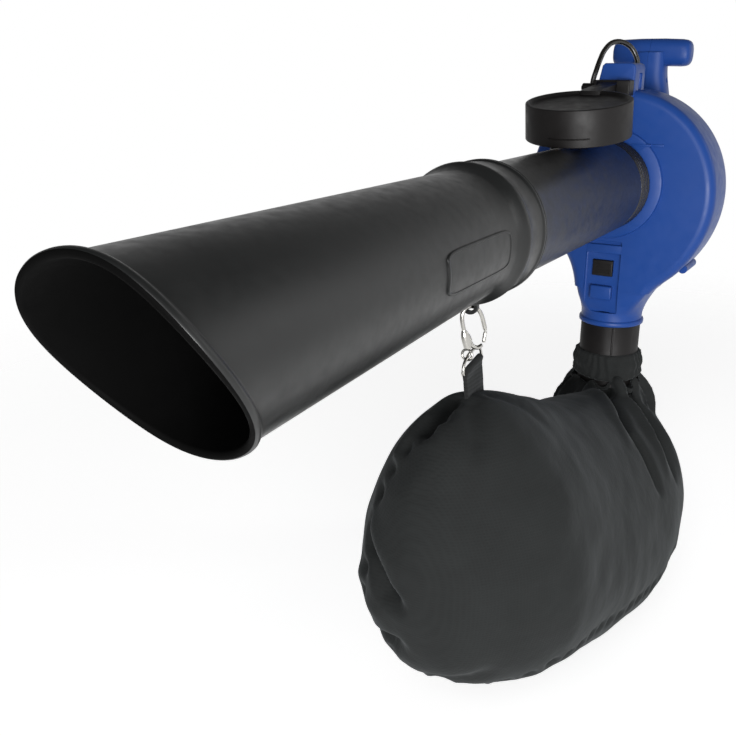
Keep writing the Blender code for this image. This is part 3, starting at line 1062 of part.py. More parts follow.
def hook_ring(along, z, half_along, half_thick, count=12):
    """Gives a level section of the hook's thick body."""
    across = Vector((math.sin(HOOK_TURN), -math.cos(HOOK_TURN), 0))
    with_plane = Vector((math.cos(HOOK_TURN), math.sin(HOOK_TURN), 0))
    centre = hook_point(along, z)
    return [centre + with_plane * a + across * b for a, b in oval(half_along, half_thick, 2.2, count)]


EYE_CENTRE = hook_point(-0.0015, -0.1302)


def build_hanger():
    """Snap hook with its gate and swivel eye, the D-ring and the bag's strap."""
    outline = [(0.0158, -0.1212), (0.0110, -0.1236), (0.0050, -0.1215), (0.0005, -0.1150), (-0.0045, -0.1080),
               (-0.0072, -0.1000), (-0.0090, -0.0910), (-0.0085, -0.0838), (-0.0050, -0.0789), (0.0, -0.0777), (0.0050, -0.0788),
               (0.0100, -0.0828), (0.0140, -0.0895), (0.0168, -0.0980), (0.0190, -0.1055)]
    pivot = hook_point(0.0, LUG_TOP_Z)
    body = wire("snap_hook_body", smooth_route([hook_point(*p) for p in outline], 0.0048), HOOK_WIRE_R, NICKEL, sides=2)
    barrel = loft("hook_barrel", [hook_ring(a, z, wide, thick) for a, z, wide, thick in
                                  ((-0.0060, -0.1030, 0.0026, 0.0026), (-0.0045, -0.1075, 0.0048, 0.0033), (-0.0026, -0.1140, 0.0058, 0.0038),
                                   (-0.0017, -0.1200, 0.0046, 0.0037), (-0.0015, -0.1232, 0.0038, 0.0036))])
    combine(body, barrel, "UNION")
    stem_centre = (EYE_CENTRE.x, EYE_CENTRE.y, 0)
    combine(body, rod("stem_bore", 0.0019, -0.1400, -0.1150, centre=stem_centre, axis="Z", steps=12))
    place_on_axis(body, pivot)

    eye_points = [EYE_CENTRE + Vector((EYE_R * math.sin(a), 0, EYE_R * math.cos(a))) for a in ring_of(18)]
    eye = wire("hook_swivel", eye_points, EYE_WIRE_R, NICKEL, sides=1, closed=True)
    combine(eye, rod("swivel_stem", 0.0015, EYE_CENTRE.z + EYE_R, -0.1155, centre=stem_centre, axis="Z", steps=10), "UNION")
    place_on_axis(eye, EYE_CENTRE)

    gate_foot, gate_tip = hook_point(0.0174, -0.1186), hook_point(0.0192, -0.1066)
    gate = wire("hook_gate", [gate_foot, (gate_foot + gate_tip) / 2, gate_tip], HOOK_WIRE_R - 0.0003, NICKEL, sides=2)
    place_on_axis(gate, gate_foot)

    bar = Vector((0.0, RING_BAR_Y, RING_BAR_Z))
    lean = Matrix.Translation(bar) @ Matrix.Rotation(math.radians(RING_LEAN), 4, "X") @ Matrix.Translation(-bar)
    bow = []
    for i in range(17):
        angle = math.pi * i / 16
        bow.append(lean @ Vector((0.0, RING_BAR_Y + RING_HALF_WIDTH * math.cos(angle),
                                  RING_BAR_Z + RING_RISE * math.sin(angle) ** 0.7)))
    ring = wire("d_ring", bow, RING_WIRE_R, NICKEL, sides=1, closed=True)
    place_on_axis(ring, (0.0, RING_BAR_Y, RING_BAR_Z))

    fold_r = RING_WIRE_R + GAP
    outer_r = fold_r + STRAP_THICKNESS * 0.45
    angles = [math.pi * (1 - i / 8) for i in range(9)]
    outline = [(outer_r * math.cos(a), RING_BAR_Z + outer_r * math.sin(a)) for a in angles]
    outline += [(STRAP_THICKNESS / 2, RING_BAR_Z - 0.008), (STRAP_THICKNESS / 2, STRAP_END_Z), (-STRAP_THICKNESS / 2, STRAP_END_Z),
                (-STRAP_THICKNESS / 2, RING_BAR_Z - 0.008)]
    strap = prism("bag_strap", outline, "Y", RING_BAR_Y - STRAP_WIDTH / 2, RING_BAR_Y + STRAP_WIDTH / 2, WEBBING)
    fold = rod("strap_fold", fold_r, RING_BAR_Y - 0.05, RING_BAR_Y + 0.05, centre=(0, 0, RING_BAR_Z), steps=14)
    strap.data.transform(lean)
    fold.data.transform(lean)
    combine(strap, fold)
    combine(strap, loft("strap_seat", [bag_ring(*station) for station in bag_stations(GAP)]))


# Bag

def bag_ring(y, top, bottom, half_width, shift, power=2.3, count=24):
    """Gives an upright section of the bag, narrower at the top, where it hangs, than below."""
    middle, half_height = (top + bottom) / 2, (top - bottom) / 2
    points = []
    for a, height in oval(half_width, 1.0, power, count):
        narrow = 1 - BAG_SAG * height * (1 + height / 2)
        points.append((shift + a * narrow, y, middle + half_height * height))
    return points


def bag_stations(lift=0.0):
    """Gives the bag's sections, drawn out at the front as far as the ring that holds them, and lifted at the top."""
    reach = -RING_BAR_Y / BAG_REACH
    return [(y * reach if y < 0 else y, top + lift, bottom, wide, shift) for y, top, bottom, wide, shift in BAG_STATIONS]


def build_bag():
    """The filled bag and its elastic cuff on the outlet sleeve."""
    body = loft("bag_body", [bag_ring(*station) for station in bag_stations()], BAG_FABRIC)
    inner = SLEEVE_R + GAP
    neck = turned("bag_neck", [(0.0, CUFF_BOTTOM_Z - GAP), (inner + CUFF_THICKNESS, CUFF_BOTTOM_Z - GAP), (inner + CUFF_THICKNESS + 0.012, CUFF_BOTTOM_Z - 0.03),
                               (inner + CUFF_THICKNESS + 0.020, CUFF_BOTTOM_Z - 0.06), (0.0, CUFF_BOTTOM_Z - 0.10)],
                  centre=(OUTLET_X, SLEEVE_Y, 0), axis="Z", steps=24)
    combine(body, neck, "UNION")
    pocket = rod("sleeve_pocket", SLEEVE_R + GAP, SLEEVE_END_Z - GAP, CUFF_TOP_Z + 0.05, centre=(OUTLET_X, SLEEVE_Y, 0), axis="Z", steps=ROUND_STEPS)
    combine(body, pocket)
    turned("bag_cuff", [(inner, CUFF_BOTTOM_Z), (inner + CUFF_THICKNESS, CUFF_BOTTOM_Z), (inner + CUFF_THICKNESS, CUFF_BOTTOM_Z + 0.012),
                        (inner + CUFF_THICKNESS * 0.9, CUFF_TOP_Z - 0.004), (inner + CUFF_THICKNESS * 0.35, CUFF_TOP_Z), (inner, CUFF_TOP_Z)],
           BAG_FABRIC, centre=(OUTLET_X, SLEEVE_Y, 0), axis="Z", steps=32)


# Switch

def build_switch():
    """The mains switch in the pillar's rear face: a fixed frame and a rocker."""
    face_y = GRIP_Y - 0.006 + PILLAR_DEPTH / 2 + 0.0012
    body = block("switch_body", (-SWITCH_WIDTH / 2, face_y - SWITCH_DEPTH, SWITCH_Z - SWITCH_HEIGHT / 2),
                 (SWITCH_WIDTH / 2, face_y, SWITCH_Z + SWITCH_HEIGHT / 2), COVER_PLASTIC)
    combine(body, block("switch_well", (-SWITCH_WIDTH / 2 + 0.0022, face_y - 0.0125, SWITCH_Z - SWITCH_HEIGHT / 2 + 0.0022),
                        (SWITCH_WIDTH / 2 - 0.0022, face_y + 0.01, SWITCH_Z + SWITCH_HEIGHT / 2 - 0.0022)))
    pivot_y = face_y - 0.0030
    half = SWITCH_HEIGHT / 2 - 0.0036
    outline = [(pivot_y + 0.0060, SWITCH_Z - half), (pivot_y + 0.0042, SWITCH_Z), (pivot_y + 0.0060, SWITCH_Z + half),
               (pivot_y - 0.0015, SWITCH_Z + half), (pivot_y - 0.0060, SWITCH_Z + half * 0.6), (pivot_y - 0.0060, SWITCH_Z - half * 0.6),
               (pivot_y - 0.0015, SWITCH_Z - half)]
    rocker = prism("switch_rocker", outline, "X", -SWITCH_WIDTH / 2 + 0.0026, SWITCH_WIDTH / 2 - 0.0026, BLACK_PLASTIC)
    place_on_axis(rocker, (0.0, pivot_y, SWITCH_Z))
    rocker.data.transform(Matrix.Rotation(math.radians(ROCKER_ANGLE), 4, "X"))
    rod("switch_pivot", 0.0010, -SWITCH_WIDTH / 2 + 0.0002, SWITCH_WIDTH / 2 - 0.0002, STEEL, centre=(0, pivot_y, SWITCH_Z), axis="X", steps=10)
    combine(bpy.data.objects["switch_body"], rod("pivot_seat", 0.0010 + GAP, -SWITCH_WIDTH / 2 - 0.001, SWITCH_WIDTH / 2 + 0.001,
                                                 centre=(0, pivot_y, SWITCH_Z), axis="X", steps=10))
    combine(rocker, rod("rocker_bore", 0.0010 + GAP, -SWITCH_WIDTH, SWITCH_WIDTH, centre=(0, pivot_y, SWITCH_Z), axis="X", steps=10))


build_nozzle()
build_tube()
build_volute()
build_rear_housing()
build_rotor()
build_stator()
build_outlet()
build_cover()
build_lead()
build_hanger()
build_bag()
build_switch()
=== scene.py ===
"""Leaf blower vacuum: the dressed pieces, their finishes, the light and the camera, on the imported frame.

Shapes are drawn in the machine's own frame, where y = 0 is the suction tube's rear edge and the tube's
axis is x = z = 0. MACHINE_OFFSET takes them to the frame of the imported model, whose origin is the middle of
the grip bar.
"""

import json
import logging
import math
from collections.abc import Callable, Iterable, Sequence
from dataclasses import dataclass, field
from enum import Enum
from functools import partial

import bmesh
import bpy
from mathutils import Matrix, Vector, noise


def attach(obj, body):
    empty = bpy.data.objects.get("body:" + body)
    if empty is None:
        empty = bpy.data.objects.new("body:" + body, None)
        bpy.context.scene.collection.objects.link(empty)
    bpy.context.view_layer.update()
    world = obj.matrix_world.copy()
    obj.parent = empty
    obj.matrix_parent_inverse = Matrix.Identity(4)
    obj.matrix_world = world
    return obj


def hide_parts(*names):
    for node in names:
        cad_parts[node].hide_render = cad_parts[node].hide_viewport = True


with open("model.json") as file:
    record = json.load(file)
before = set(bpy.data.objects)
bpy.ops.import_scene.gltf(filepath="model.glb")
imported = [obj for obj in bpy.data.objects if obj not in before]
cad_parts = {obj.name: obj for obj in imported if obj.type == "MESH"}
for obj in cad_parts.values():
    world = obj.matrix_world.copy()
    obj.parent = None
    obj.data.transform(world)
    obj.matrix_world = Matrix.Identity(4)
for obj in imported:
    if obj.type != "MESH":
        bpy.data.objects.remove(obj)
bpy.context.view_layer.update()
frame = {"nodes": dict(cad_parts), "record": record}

logging.basicConfig(level=logging.INFO, format="%(name)s: %(message)s")
LOG = logging.getLogger("leaf_blower")

MACHINE_OFFSET = Vector((0.0, -0.226, -0.175))
MM = 0.001
# metres: the gap between two pieces, the housing's wall, and how close points become one in a spin or a join
GAP = 0.0003
WALL = 0.0026
WELD = 1e-6
MERGE = 0.00002
# segments of a large round, and the angle in degrees from which an edge gets its small rounding
FINE = 128
SOFT_EDGE_ANGLE = 35.0
# most values of a noise texture lie between these two
NOISE_MIDDLE = {"From Min": 0.3, "From Max": 0.7}
# a wave texture of scale one has its bands this far apart
WAVE_SPACING = 6.2832

# middle x and z, width and height of the latch button, which the housing's window follows
LATCH_BUTTON = (0.0031, -0.1205, 0.0290, 0.0230)

Point = Sequence[float]
Ring = list[Vector]
Shape = bmesh.types.BMesh
Pieces = list[bpy.types.Object]


class Axis(Enum):
    """A direction of the machine that a piece is turned about or drawn along."""

    X = "X"
    Y = "Y"
    Z = "Z"

    def turn(self) -> Matrix:
        """Gives the rotation that takes the upright axis to this one."""
        if self is Axis.X:
            return Matrix(((0, 0, 1), (1, 0, 0), (0, 1, 0)))
        if self is Axis.Y:
            return Matrix(((0, 1, 0), (0, 0, 1), (1, 0, 0)))
        return Matrix.Identity(3)


class Join(Enum):
    """How one closed shape is joined with another."""

    ADD = "UNION"
    CUT = "DIFFERENCE"
    KEEP = "INTERSECT"


Steps = list[tuple[Join, Shape]]


def linear(colour: str) -> tuple[float, float, float, float]:
    """Turns an sRGB hex colour to linear values.

    Args:
        colour: Six hex digits after a hash sign.

    Returns:
        Red, green, blue and an alpha of one.
    """
    shares = [int(colour[i:i + 2], 16) / 255 for i in (1, 3, 5)]
    parts = [s / 12.92 if s <= 0.04045 else ((s + 0.055) / 1.055) ** 2.4 for s in shares]
    return parts[0], parts[1], parts[2], 1.0


def add_node(tree: bpy.types.NodeTree, kind: str, values: dict | None = None,
             links: dict | None = None, **settings: object) -> bpy.types.Node:
    """Adds a shader node with its settings, its sockets' values and its links.

    Args:
        tree: The node tree that gets the node.
        kind: The node's type name.
        values: Socket name or number to constant value.
        links: Socket name or number to the output that feeds it.
        **settings: Properties of the node itself.

    Returns:
        The new node.
    """
    made = tree.nodes.new(kind)
    for key, value in settings.items():
        setattr(made, key, value)
    for key, value in (values or {}).items():
        made.inputs[key].default_value = value
    for key, source in (links or {}).items():
        tree.links.new(source, made.inputs[key])
    return made


def new_material(name: str) -> tuple[bpy.types.Material, bpy.types.NodeTree, bpy.types.Node]:
    """Makes an empty node material and gives it with its tree and its Principled shader."""
    material = bpy.data.materials.new(name)
    material.use_nodes = True
    return material, material.node_tree, material.node_tree.nodes["Principled BSDF"]


def per_metre(size_mm: float) -> float:
    """Gives the noise scale at which one cell is as wide as a size in millimetres."""
    return 1000.0 / size_mm


def metres(rows: Iterable[Point]) -> list[tuple[float, ...]]:
    """Turns rows of millimetres to metres."""
    return [tuple(value / 1000 for value in row) for row in rows]


@dataclass(frozen=True)
class MouldedPlastic:
    """Injection moulded plastic: an even satin skin with the fine spark-eroded grain of its mould.

    The grain is 0.5 mm or finer on the real mould and is drawn near 1 mm so that it still shows.
    """

    name: str
    colour: str
    tint: str
    roughness: float
    rough_spread: float = 0.06
    grain_mm: float = 1.0
    grain_height_mm: float = 0.02
    mottle_mm: float = 45.0
    specular: float = 0.5

    def make(self) -> bpy.types.Material:
        """Builds the material."""
        material, tree, shader = new_material(self.name)
        node = partial(add_node, tree)
        place = node("ShaderNodeTexCoord").outputs["Object"]
        cloud = node("ShaderNodeTexNoise", {"Scale": per_metre(self.mottle_mm), "Detail": 4.0,
                                            "Roughness": 0.6}, {"Vector": place})
        mix = node("ShaderNodeMix", {6: linear(self.colour), 7: linear(self.tint)},
                   {0: cloud.outputs["Fac"]}, data_type="RGBA")
        scuff = node("ShaderNodeTexNoise", {"Scale": per_metre(self.mottle_mm / 4), "Detail": 5.0},
                     {"Vector": place})
        spread = node("ShaderNodeMapRange", {**NOISE_MIDDLE, "To Min": self.roughness - self.rough_spread,
                                             "To Max": self.roughness + self.rough_spread},
                      {"Value": scuff.outputs["Fac"]})
        grain = node("ShaderNodeTexNoise", {"Scale": per_metre(self.grain_mm), "Detail": 2.0},
                     {"Vector": place})
        bump = node("ShaderNodeBump", {"Strength": 0.5, "Distance": self.grain_height_mm * MM},
                    {"Height": grain.outputs["Fac"]})
        shader.inputs["Specular IOR Level"].default_value = self.specular
        shader.inputs["IOR"].default_value = 1.5
        tree.links.new(mix.outputs[2], shader.inputs["Base Color"])
        tree.links.new(spread.outputs["Result"], shader.inputs["Roughness"])
        tree.links.new(bump.outputs["Normal"], shader.inputs["Normal"])
        return material


@dataclass(frozen=True)
class WovenCloth:
    """Plain woven polyester: crossing threads, a dull surface and a soft sheen at its edges.

    The real threads are under 0.4 mm and are drawn at thread_mm so that the weave still shows.
    """

    name: str
    colour: str
    tint: str
    thread_mm: float
    height_mm: float = 0.12
    crease_mm: float = 25.0
    crease_height_mm: float = 2.2
    roughness: float = 0.88
    specular: float = 0.25
    sheen: float = 0.35
    sheen_roughness: float = 0.45
    mottle_mm: float = 60.0
    ribs_only: bool = False

    def make(self) -> bpy.types.Material:
        """Builds the material."""
        material, tree, shader = new_material(self.name)
        node = partial(add_node, tree)
        place = node("ShaderNodeTexCoord").outputs["Object"]
        bend = node("ShaderNodeTexNoise", {"Scale": per_metre(self.crease_mm), "Detail": 3.0},
                    {"Vector": place})
        waves = []
        for direction in ("Z",) if self.ribs_only else ("Y", "Z"):
            waves.append(node("ShaderNodeTexWave", {"Scale": per_metre(self.thread_mm) / WAVE_SPACING,
                                                    "Distortion": 0.8, "Detail": 1.0, "Detail Scale": 1.5},
                              {"Vector": place}, wave_type="BANDS", bands_direction=direction).outputs["Fac"])
        weave = waves[0]
        if len(waves) > 1:
            weave = node("ShaderNodeMath", links={0: waves[0], 1: waves[1]}, operation="MAXIMUM").outputs[0]
        cloud = node("ShaderNodeTexNoise", {"Scale": per_metre(self.mottle_mm), "Detail": 6.0,
                                            "Roughness": 0.65}, {"Vector": place})
        share = node("ShaderNodeMath", {1: 0.35}, {0: weave, 2: cloud.outputs["Fac"]},
                     operation="MULTIPLY_ADD")
        mix = node("ShaderNodeMix", {6: linear(self.colour), 7: linear(self.tint)}, {0: share.outputs[0]},
                   data_type="RGBA")
        creases = node("ShaderNodeBump", {"Strength": 0.6, "Distance": self.crease_height_mm * MM},
                       {"Height": bend.outputs["Fac"]})
        bump = node("ShaderNodeBump", {"Strength": 0.8, "Distance": self.height_mm * MM},
                    {"Height": weave, "Normal": creases.outputs["Normal"]})
        shader.inputs["Roughness"].default_value = self.roughness
        shader.inputs["Specular IOR Level"].default_value = self.specular
        shader.inputs["Sheen Weight"].default_value = self.sheen
        shader.inputs["Sheen Roughness"].default_value = self.sheen_roughness
        shader.inputs["Sheen Tint"].default_value = linear("#B9BFC2")
        tree.links.new(mix.outputs[2], shader.inputs["Base Color"])
        tree.links.new(bump.outputs["Normal"], shader.inputs["Normal"])
        return material


@dataclass(frozen=True)
class WorkedMetal:
    """Metal as cut, drawn or plated: fine streaks in its roughness and a slightly uneven tone."""

    name: str
    colour: str
    tint: str
    roughness: float
    streak_mm: float = 0.8
    height_mm: float = 0.01

    def make(self) -> bpy.types.Material:
        """Builds the material."""
        material, tree, shader = new_material(self.name)
        node = partial(add_node, tree)
        place = node("ShaderNodeTexCoord").outputs["Object"]
        stretch = node("ShaderNodeMapping", {"Scale": (1.0, 0.15, 1.0)}, {"Vector": place})
        streak = node("ShaderNodeTexNoise", {"Scale": per_metre(self.streak_mm), "Detail": 3.0},
                      {"Vector": stretch.outputs["Vector"]})
        cloud = node("ShaderNodeTexNoise", {"Scale": per_metre(9.0), "Detail": 4.0}, {"Vector": place})
        mix = node("ShaderNodeMix", {6: linear(self.colour), 7: linear(self.tint)},
                   {0: cloud.outputs["Fac"]}, data_type="RGBA")
        spread = node("ShaderNodeMapRange", {**NOISE_MIDDLE, "To Min": self.roughness * 0.75,
                                             "To Max": self.roughness * 1.3},
                      {"Value": streak.outputs["Fac"]})
        bump = node("ShaderNodeBump", {"Strength": 0.4, "Distance": self.height_mm * MM},
                    {"Height": streak.outputs["Fac"]})
        shader.inputs["Metallic"].default_value = 1.0
        tree.links.new(mix.outputs[2], shader.inputs["Base Color"])
        tree.links.new(spread.outputs["Result"], shader.inputs["Roughness"])
        tree.links.new(bump.outputs["Normal"], shader.inputs["Normal"])
        return material


@dataclass(frozen=True)
class Finishes:
    """Every material slot of the record with the finish that the real part has."""

    # satin polypropylene of the tubes: dark grey in the light, with a broad soft highlight
    black_plastic: MouldedPlastic = MouldedPlastic("satin_polypropylene", "#1B1C1C", "#202121", 0.36,
                                                   grain_height_mm=0.008, specular=0.42)
    # matt nylon of cover, sleeve and bracket: warmer and duller than the tubes
    cover_plastic: MouldedPlastic = MouldedPlastic("matt_nylon", "#151313", "#1A1818", 0.48, specular=0.27)
    # satin ABS of the housing: a deep blue that lightens a little where it turns to the light
    blue_plastic: MouldedPlastic = MouldedPlastic("satin_abs", "#1F4690", "#234B98", 0.38,
                                                  grain_height_mm=0.008, specular=0.27)
    # woven polyester of the bag, dull with a pale sheen where it turns away
    bag_fabric: WovenCloth = WovenCloth("woven_polyester", "#1B1C1C", "#262828", 1.5, sheen=0.15)
    # ribbed polyester webbing, tighter and darker than the bag
    webbing: WovenCloth = WovenCloth("polyester_webbing", "#161616", "#2A2B2B", 2.4, height_mm=0.25,
                                     sheen=0.2, ribs_only=True)
    # bright nickel plate of hook and ring, which mirrors the white room and the dark tube
    nickel: WorkedMetal = WorkedMetal("nickel_plate", "#C9C7C2", "#B8B6B1", 0.16)
    # plain drawn steel of shaft, pins and screws
    steel: WorkedMetal = WorkedMetal("drawn_steel", "#9B9CA0", "#86888C", 0.34)
    # enamelled copper wire, reddish and glossy
    copper: WorkedMetal = WorkedMetal("enamelled_copper", "#B8703F", "#9C5A31", 0.32, streak_mm=0.6,
                                      height_mm=0.05)
    # bare brass of prongs and brush holders
    brass: WorkedMetal = WorkedMetal("bare_brass", "#C9A45A", "#B08C48", 0.3)
    # pressed carbon, dull black with a faint grain
    carbon: MouldedPlastic = MouldedPlastic("pressed_carbon", "#1A1A1B", "#242425", 0.7, grain_mm=0.6)
    # flexible vinyl sheath of the lead, brownish black
    lead_sheath: MouldedPlastic = MouldedPlastic("flexible_vinyl", "#11100E", "#1C1A16", 0.26,
                                                 mottle_mm=12.0, specular=0.7)
    # glass filled nylon of the fans, dark and slightly rough
    fan_nylon: MouldedPlastic = MouldedPlastic("filled_nylon", "#343433", "#3D3D3B", 0.55, grain_mm=0.8)

    def make_all(self) -> dict[str, bpy.types.Material]:
        """Builds every finish.

        Returns:
            Material slot name to material.
        """
        return {name: finish.make() for name, finish in vars(type(self)).items()
                if isinstance(finish, (MouldedPlastic, WovenCloth, WorkedMetal))}


MATERIALS = Finishes().make_all()
# the core side of a tube's mould is not polished, so the bores are matt and show no highlight; its near-black
# colour is painted shade, drawing the bores and the nozzle's lip front darker than the tube's own plastic
PAINTED_SHADE_PLASTIC = MouldedPlastic("painted_shade_polypropylene", "#040404", "#080808", 0.75, specular=0.06).make()


@dataclass
class Seat:
    """Where a new piece belongs: its CAD body, its material slot and the CAD nodes that it stands for."""

    body: str
    slot: str
    stands_for: list[str] = field(default_factory=list)


def spun(profile: Sequence[tuple[float, float]], axis: Axis = Axis.Y, centre: Point = (0, 0, 0),
         steps: int = FINE) -> Shape:
    """Spins a closed outline about an axis.

    Args:
        profile: Points as (radius, height along the axis).
        axis: The axis of the spin.
        centre: A point that the axis passes through.
        steps: How many segments the turn has.

    Returns:
        The closed mesh.
    """
    shape = bmesh.new()
    turn = axis.turn()
    points = [shape.verts.new(Vector(centre) + turn @ Vector((r, 0.0, h))) for r, h in profile]
    edges = [shape.edges.new(pair) for pair in zip(points, points[1:] + points[:1])]
    bmesh.ops.spin(shape, geom=points + edges, cent=centre, axis=turn @ Vector((0, 0, 1)), angle=2 * math.pi,
                   steps=steps, use_merge=True)
    bmesh.ops.remove_doubles(shape, verts=shape.verts, dist=WELD)
    bmesh.ops.delete(shape, geom=[e for e in shape.edges if not e.link_faces], context="EDGES")
    bmesh.ops.recalc_face_normals(shape, faces=shape.faces)
    return shape


def rod(radius: float, low: float, high: float, axis: Axis = Axis.Y, centre: Point = (0, 0, 0),
        steps: int = FINE) -> Shape:
    """Makes a plain cylinder between two heights on an axis, for a pin, a boss or a bore."""
    return spun([(0.0, low), (radius, low), (radius, high), (0.0, high)], axis, centre, steps)


def lofted(rings: Sequence[Ring], closed: bool = False) -> Shape:
    """Draws one ring through a row of places by extruding it again and again.

    Args:
        rings: Rings with equal point counts.
        closed: Whether the last ring meets the first, as in a hollow shell.

    Returns:
        The closed mesh; open ends are capped.
    """
    shape = bmesh.new()
    count = len(rings[0])
    bmesh.ops.create_circle(shape, cap_ends=False, radius=1.0, segments=count)
    row = list(shape.verts)
    first = row
    edges = list(shape.edges)
    for vertex, where in zip(row, rings[0]):
        vertex.co = where
    for ring in rings[1:]:
        grown = bmesh.ops.extrude_edge_only(shape, edges=edges)["geom"]
        new = {item for item in grown if isinstance(item, bmesh.types.BMVert)}
        edges = [item for item in grown if isinstance(item, bmesh.types.BMEdge)
                 and item.verts[0] in new and item.verts[1] in new]
        row = [next(e.other_vert(v) for e in v.link_edges if e.other_vert(v) in new) for v in row]
        for vertex, where in zip(row, ring):
            vertex.co = where
    if closed:
        seam = [e for e in shape.edges if len(e.link_faces) == 1]
        bmesh.ops.bridge_loops(shape, edges=seam)
    else:
        for loop in (first, row):
            bmesh.ops.contextual_create(shape, geom=[e for e in shape.edges if e.verts[0] in set(loop)
                                                     and e.verts[1] in set(loop)])
    bmesh.ops.recalc_face_normals(shape, faces=shape.faces)
    return shape


def slab(low: Point, high: Point, rounding: float = 0.0, segments: int = 3) -> Shape:
    """Makes a moulded block between two corners with rounded edges."""
    shape = bmesh.new()
    bmesh.ops.create_cube(shape, size=1.0)
    for vertex in shape.verts:
        vertex.co = Vector(low[i] if vertex.co[i] < 0 else high[i] for i in range(3))
    if rounding:
        bmesh.ops.bevel(shape, geom=shape.edges, offset=rounding, segments=segments, affect="EDGES",
                        profile=0.5, material=-1)
    return shape


def extruded(outline: Sequence[tuple[float, float]], axis: Axis, low: float, high: float,
             rounding: float = 0.0, segments: int = 3) -> Shape:
    """Extrudes a flat outline between two places and rounds its rims.

    Args:
        outline: Points in the two other axes, in alphabetical order.
        axis: The direction of the extrusion.
        low: Where it starts.
        high: Where it ends.
        rounding: Radius of the rims.
        segments: Segments of the rounding.

    Returns:
        The closed mesh.
    """
    shape = bmesh.new()
    place = list("XYZ").index(axis.value)

    def order(a: float, b: float, along: float) -> list[float]:
        """Puts the height along the axis between the two other values."""
        values = [a, b]
        values.insert(place, along)
        return values

    corners = [shape.verts.new(order(a, b, low)) for a, b in outline]
    face = bmesh.ops.contextual_create(shape, geom=corners)["faces"]
    grown = bmesh.ops.extrude_face_region(shape, geom=face)["geom"]
    bmesh.ops.translate(shape, verts=[g for g in grown if isinstance(g, bmesh.types.BMVert)],
                        vec=order(0, 0, high - low))
    if rounding:
        rims = [e for e in shape.edges if any(len(f.verts) != 4 for f in e.link_faces)]
        bmesh.ops.bevel(shape, geom=rims, offset=rounding, segments=segments, affect="EDGES", profile=0.5,
                        material=-1)
    bmesh.ops.recalc_face_normals(shape, faces=shape.faces)
    return shape


def swept(points: Sequence[Vector], radii: Sequence[float], sides: int = 16, closed: bool = False) -> Shape:
    """Draws a round section along a line, without twist.

    Args:
        points: The centreline.
        radii: The radius at each point.
        sides: Sides of the section.
        closed: Whether the line returns to its start.

    Returns:
        The closed mesh.
    """
    rings = []
    side = None
    last = len(points) - 1
    for i, point in enumerate(points):
        before = points[i - 1] if i or closed else point
        after = points[(i + 1) % len(points)] if i < last or closed else point
        run = (after - before).normalized()
        if side is None:
            side = run.orthogonal().normalized()
        side = (side - run * side.dot(run)).normalized()
        across = run.cross(side)
        rings.append([point + (side * math.cos(a) + across * math.sin(a)) * radii[i] for a in angles(sides)])
    return lofted(rings, closed)


def angles(count: int) -> list[float]:
    """Gives the angles of an even ring of points."""
    return [2 * math.pi * i / count for i in range(count)]


def quarter_round(size: float) -> list[tuple[float, float]]:
    """Gives a quarter round: how far each of its points stays back from the two faces that meet."""
    return [(size * (1 - math.cos(a)), size * (1 - math.sin(a)))
            for a in [math.pi / 2 * i / 7 for i in range(8)]]


def oval(half_a: float, half_b: float, power: float, count: int) -> list[tuple[float, float]]:
    """Gives a superellipse: power 2 is an ellipse, and a higher power is squarer."""
    points = []
    for angle in angles(count):
        c, s = math.cos(angle), math.sin(angle)
        points.append((math.copysign(abs(c) ** (2 / power), c) * half_a,
                       math.copysign(abs(s) ** (2 / power), s) * half_b))
    return points


def rounded_box(half_a: float, half_b: float, corner: float, count: int) -> list[tuple[float, float]]:
    """Gives an even ring round a rectangle with round corners, starting at its first side's middle."""
    corner = min(corner, half_a, half_b)
    points = []
    for angle in angles(count):
        c, s = math.cos(angle), math.sin(angle)
        a = max(-1.0, min(1.0, c * 1.35)) * (half_a - corner) + c * corner
        b = max(-1.0, min(1.0, s * 1.35)) * (half_b - corner) + s * corner
        points.append((a, b))
    return points


def curve_through(points: Sequence[Sequence[float]], parts: int,
                  tension: float = 0.5) -> list[tuple[float, ...]]:
    """Reads a smooth row of values through given ones.

    Args:
        points: Rows of equal length.
        parts: How many steps each span gets.
        tension: Slope factor of the spline.

    Returns:
        The finer rows.
    """
    rows = [tuple(2 * a - b for a, b in zip(points[0], points[1]))] + [tuple(p) for p in points]
    rows.append(tuple(2 * a - b for a, b in zip(points[-1], points[-2])))
    fine = []
    for p0, p1, p2, p3 in zip(rows, rows[1:], rows[2:], rows[3:]):
        for step in range(parts):
            t = step / parts
            fine.append(tuple(
                b + tension * t * ((c - a) + t * ((2 * a - 5 * b + 4 * c - d) + t * (3 * b - a - 3 * c + d)))
                for a, b, c, d in zip(p0, p1, p2, p3)))
    return fine + [tuple(points[-1])]


def smooth_route(points: Sequence[Point], step: float) -> list[Vector]:
    """Reads points about one step apart from a smooth curve through a route."""
    route = [Vector(p) for p in points]
    line = []
    padded = [2 * route[0] - route[1]] + route + [2 * route[-1] - route[-2]]
    for a, b, c, d in zip(padded, padded[1:], padded[2:], padded[3:]):
        count = max(1, round((c - b).length / step))
        for i in range(count):
            t = i / count
            line.append(0.5 * (2 * b + (c - a) * t + (2 * a - 5 * b + 4 * c - d) * t * t
                               + (3 * b - a - 3 * c + d) * t ** 3))
    return line + [route[-1]]


def placed(name: str, data: bpy.types.ID) -> bpy.types.Object:
    """Puts an object with its data into the scene."""
    obj = bpy.data.objects.new(name, data)
    bpy.context.scene.collection.objects.link(obj)
    return obj


def temporary(shape: Shape) -> bpy.types.Object:
    """Puts a shape into the scene for a modifier to work on."""
    mesh = bpy.data.meshes.new("working_shape")
    shape.to_mesh(mesh)
    shape.free()
    return placed("working_shape", mesh)


def discard(obj: bpy.types.Object) -> None:
    """Removes a working object with its mesh."""
    mesh = obj.data
    bpy.data.objects.remove(obj)
    bpy.data.meshes.remove(mesh)


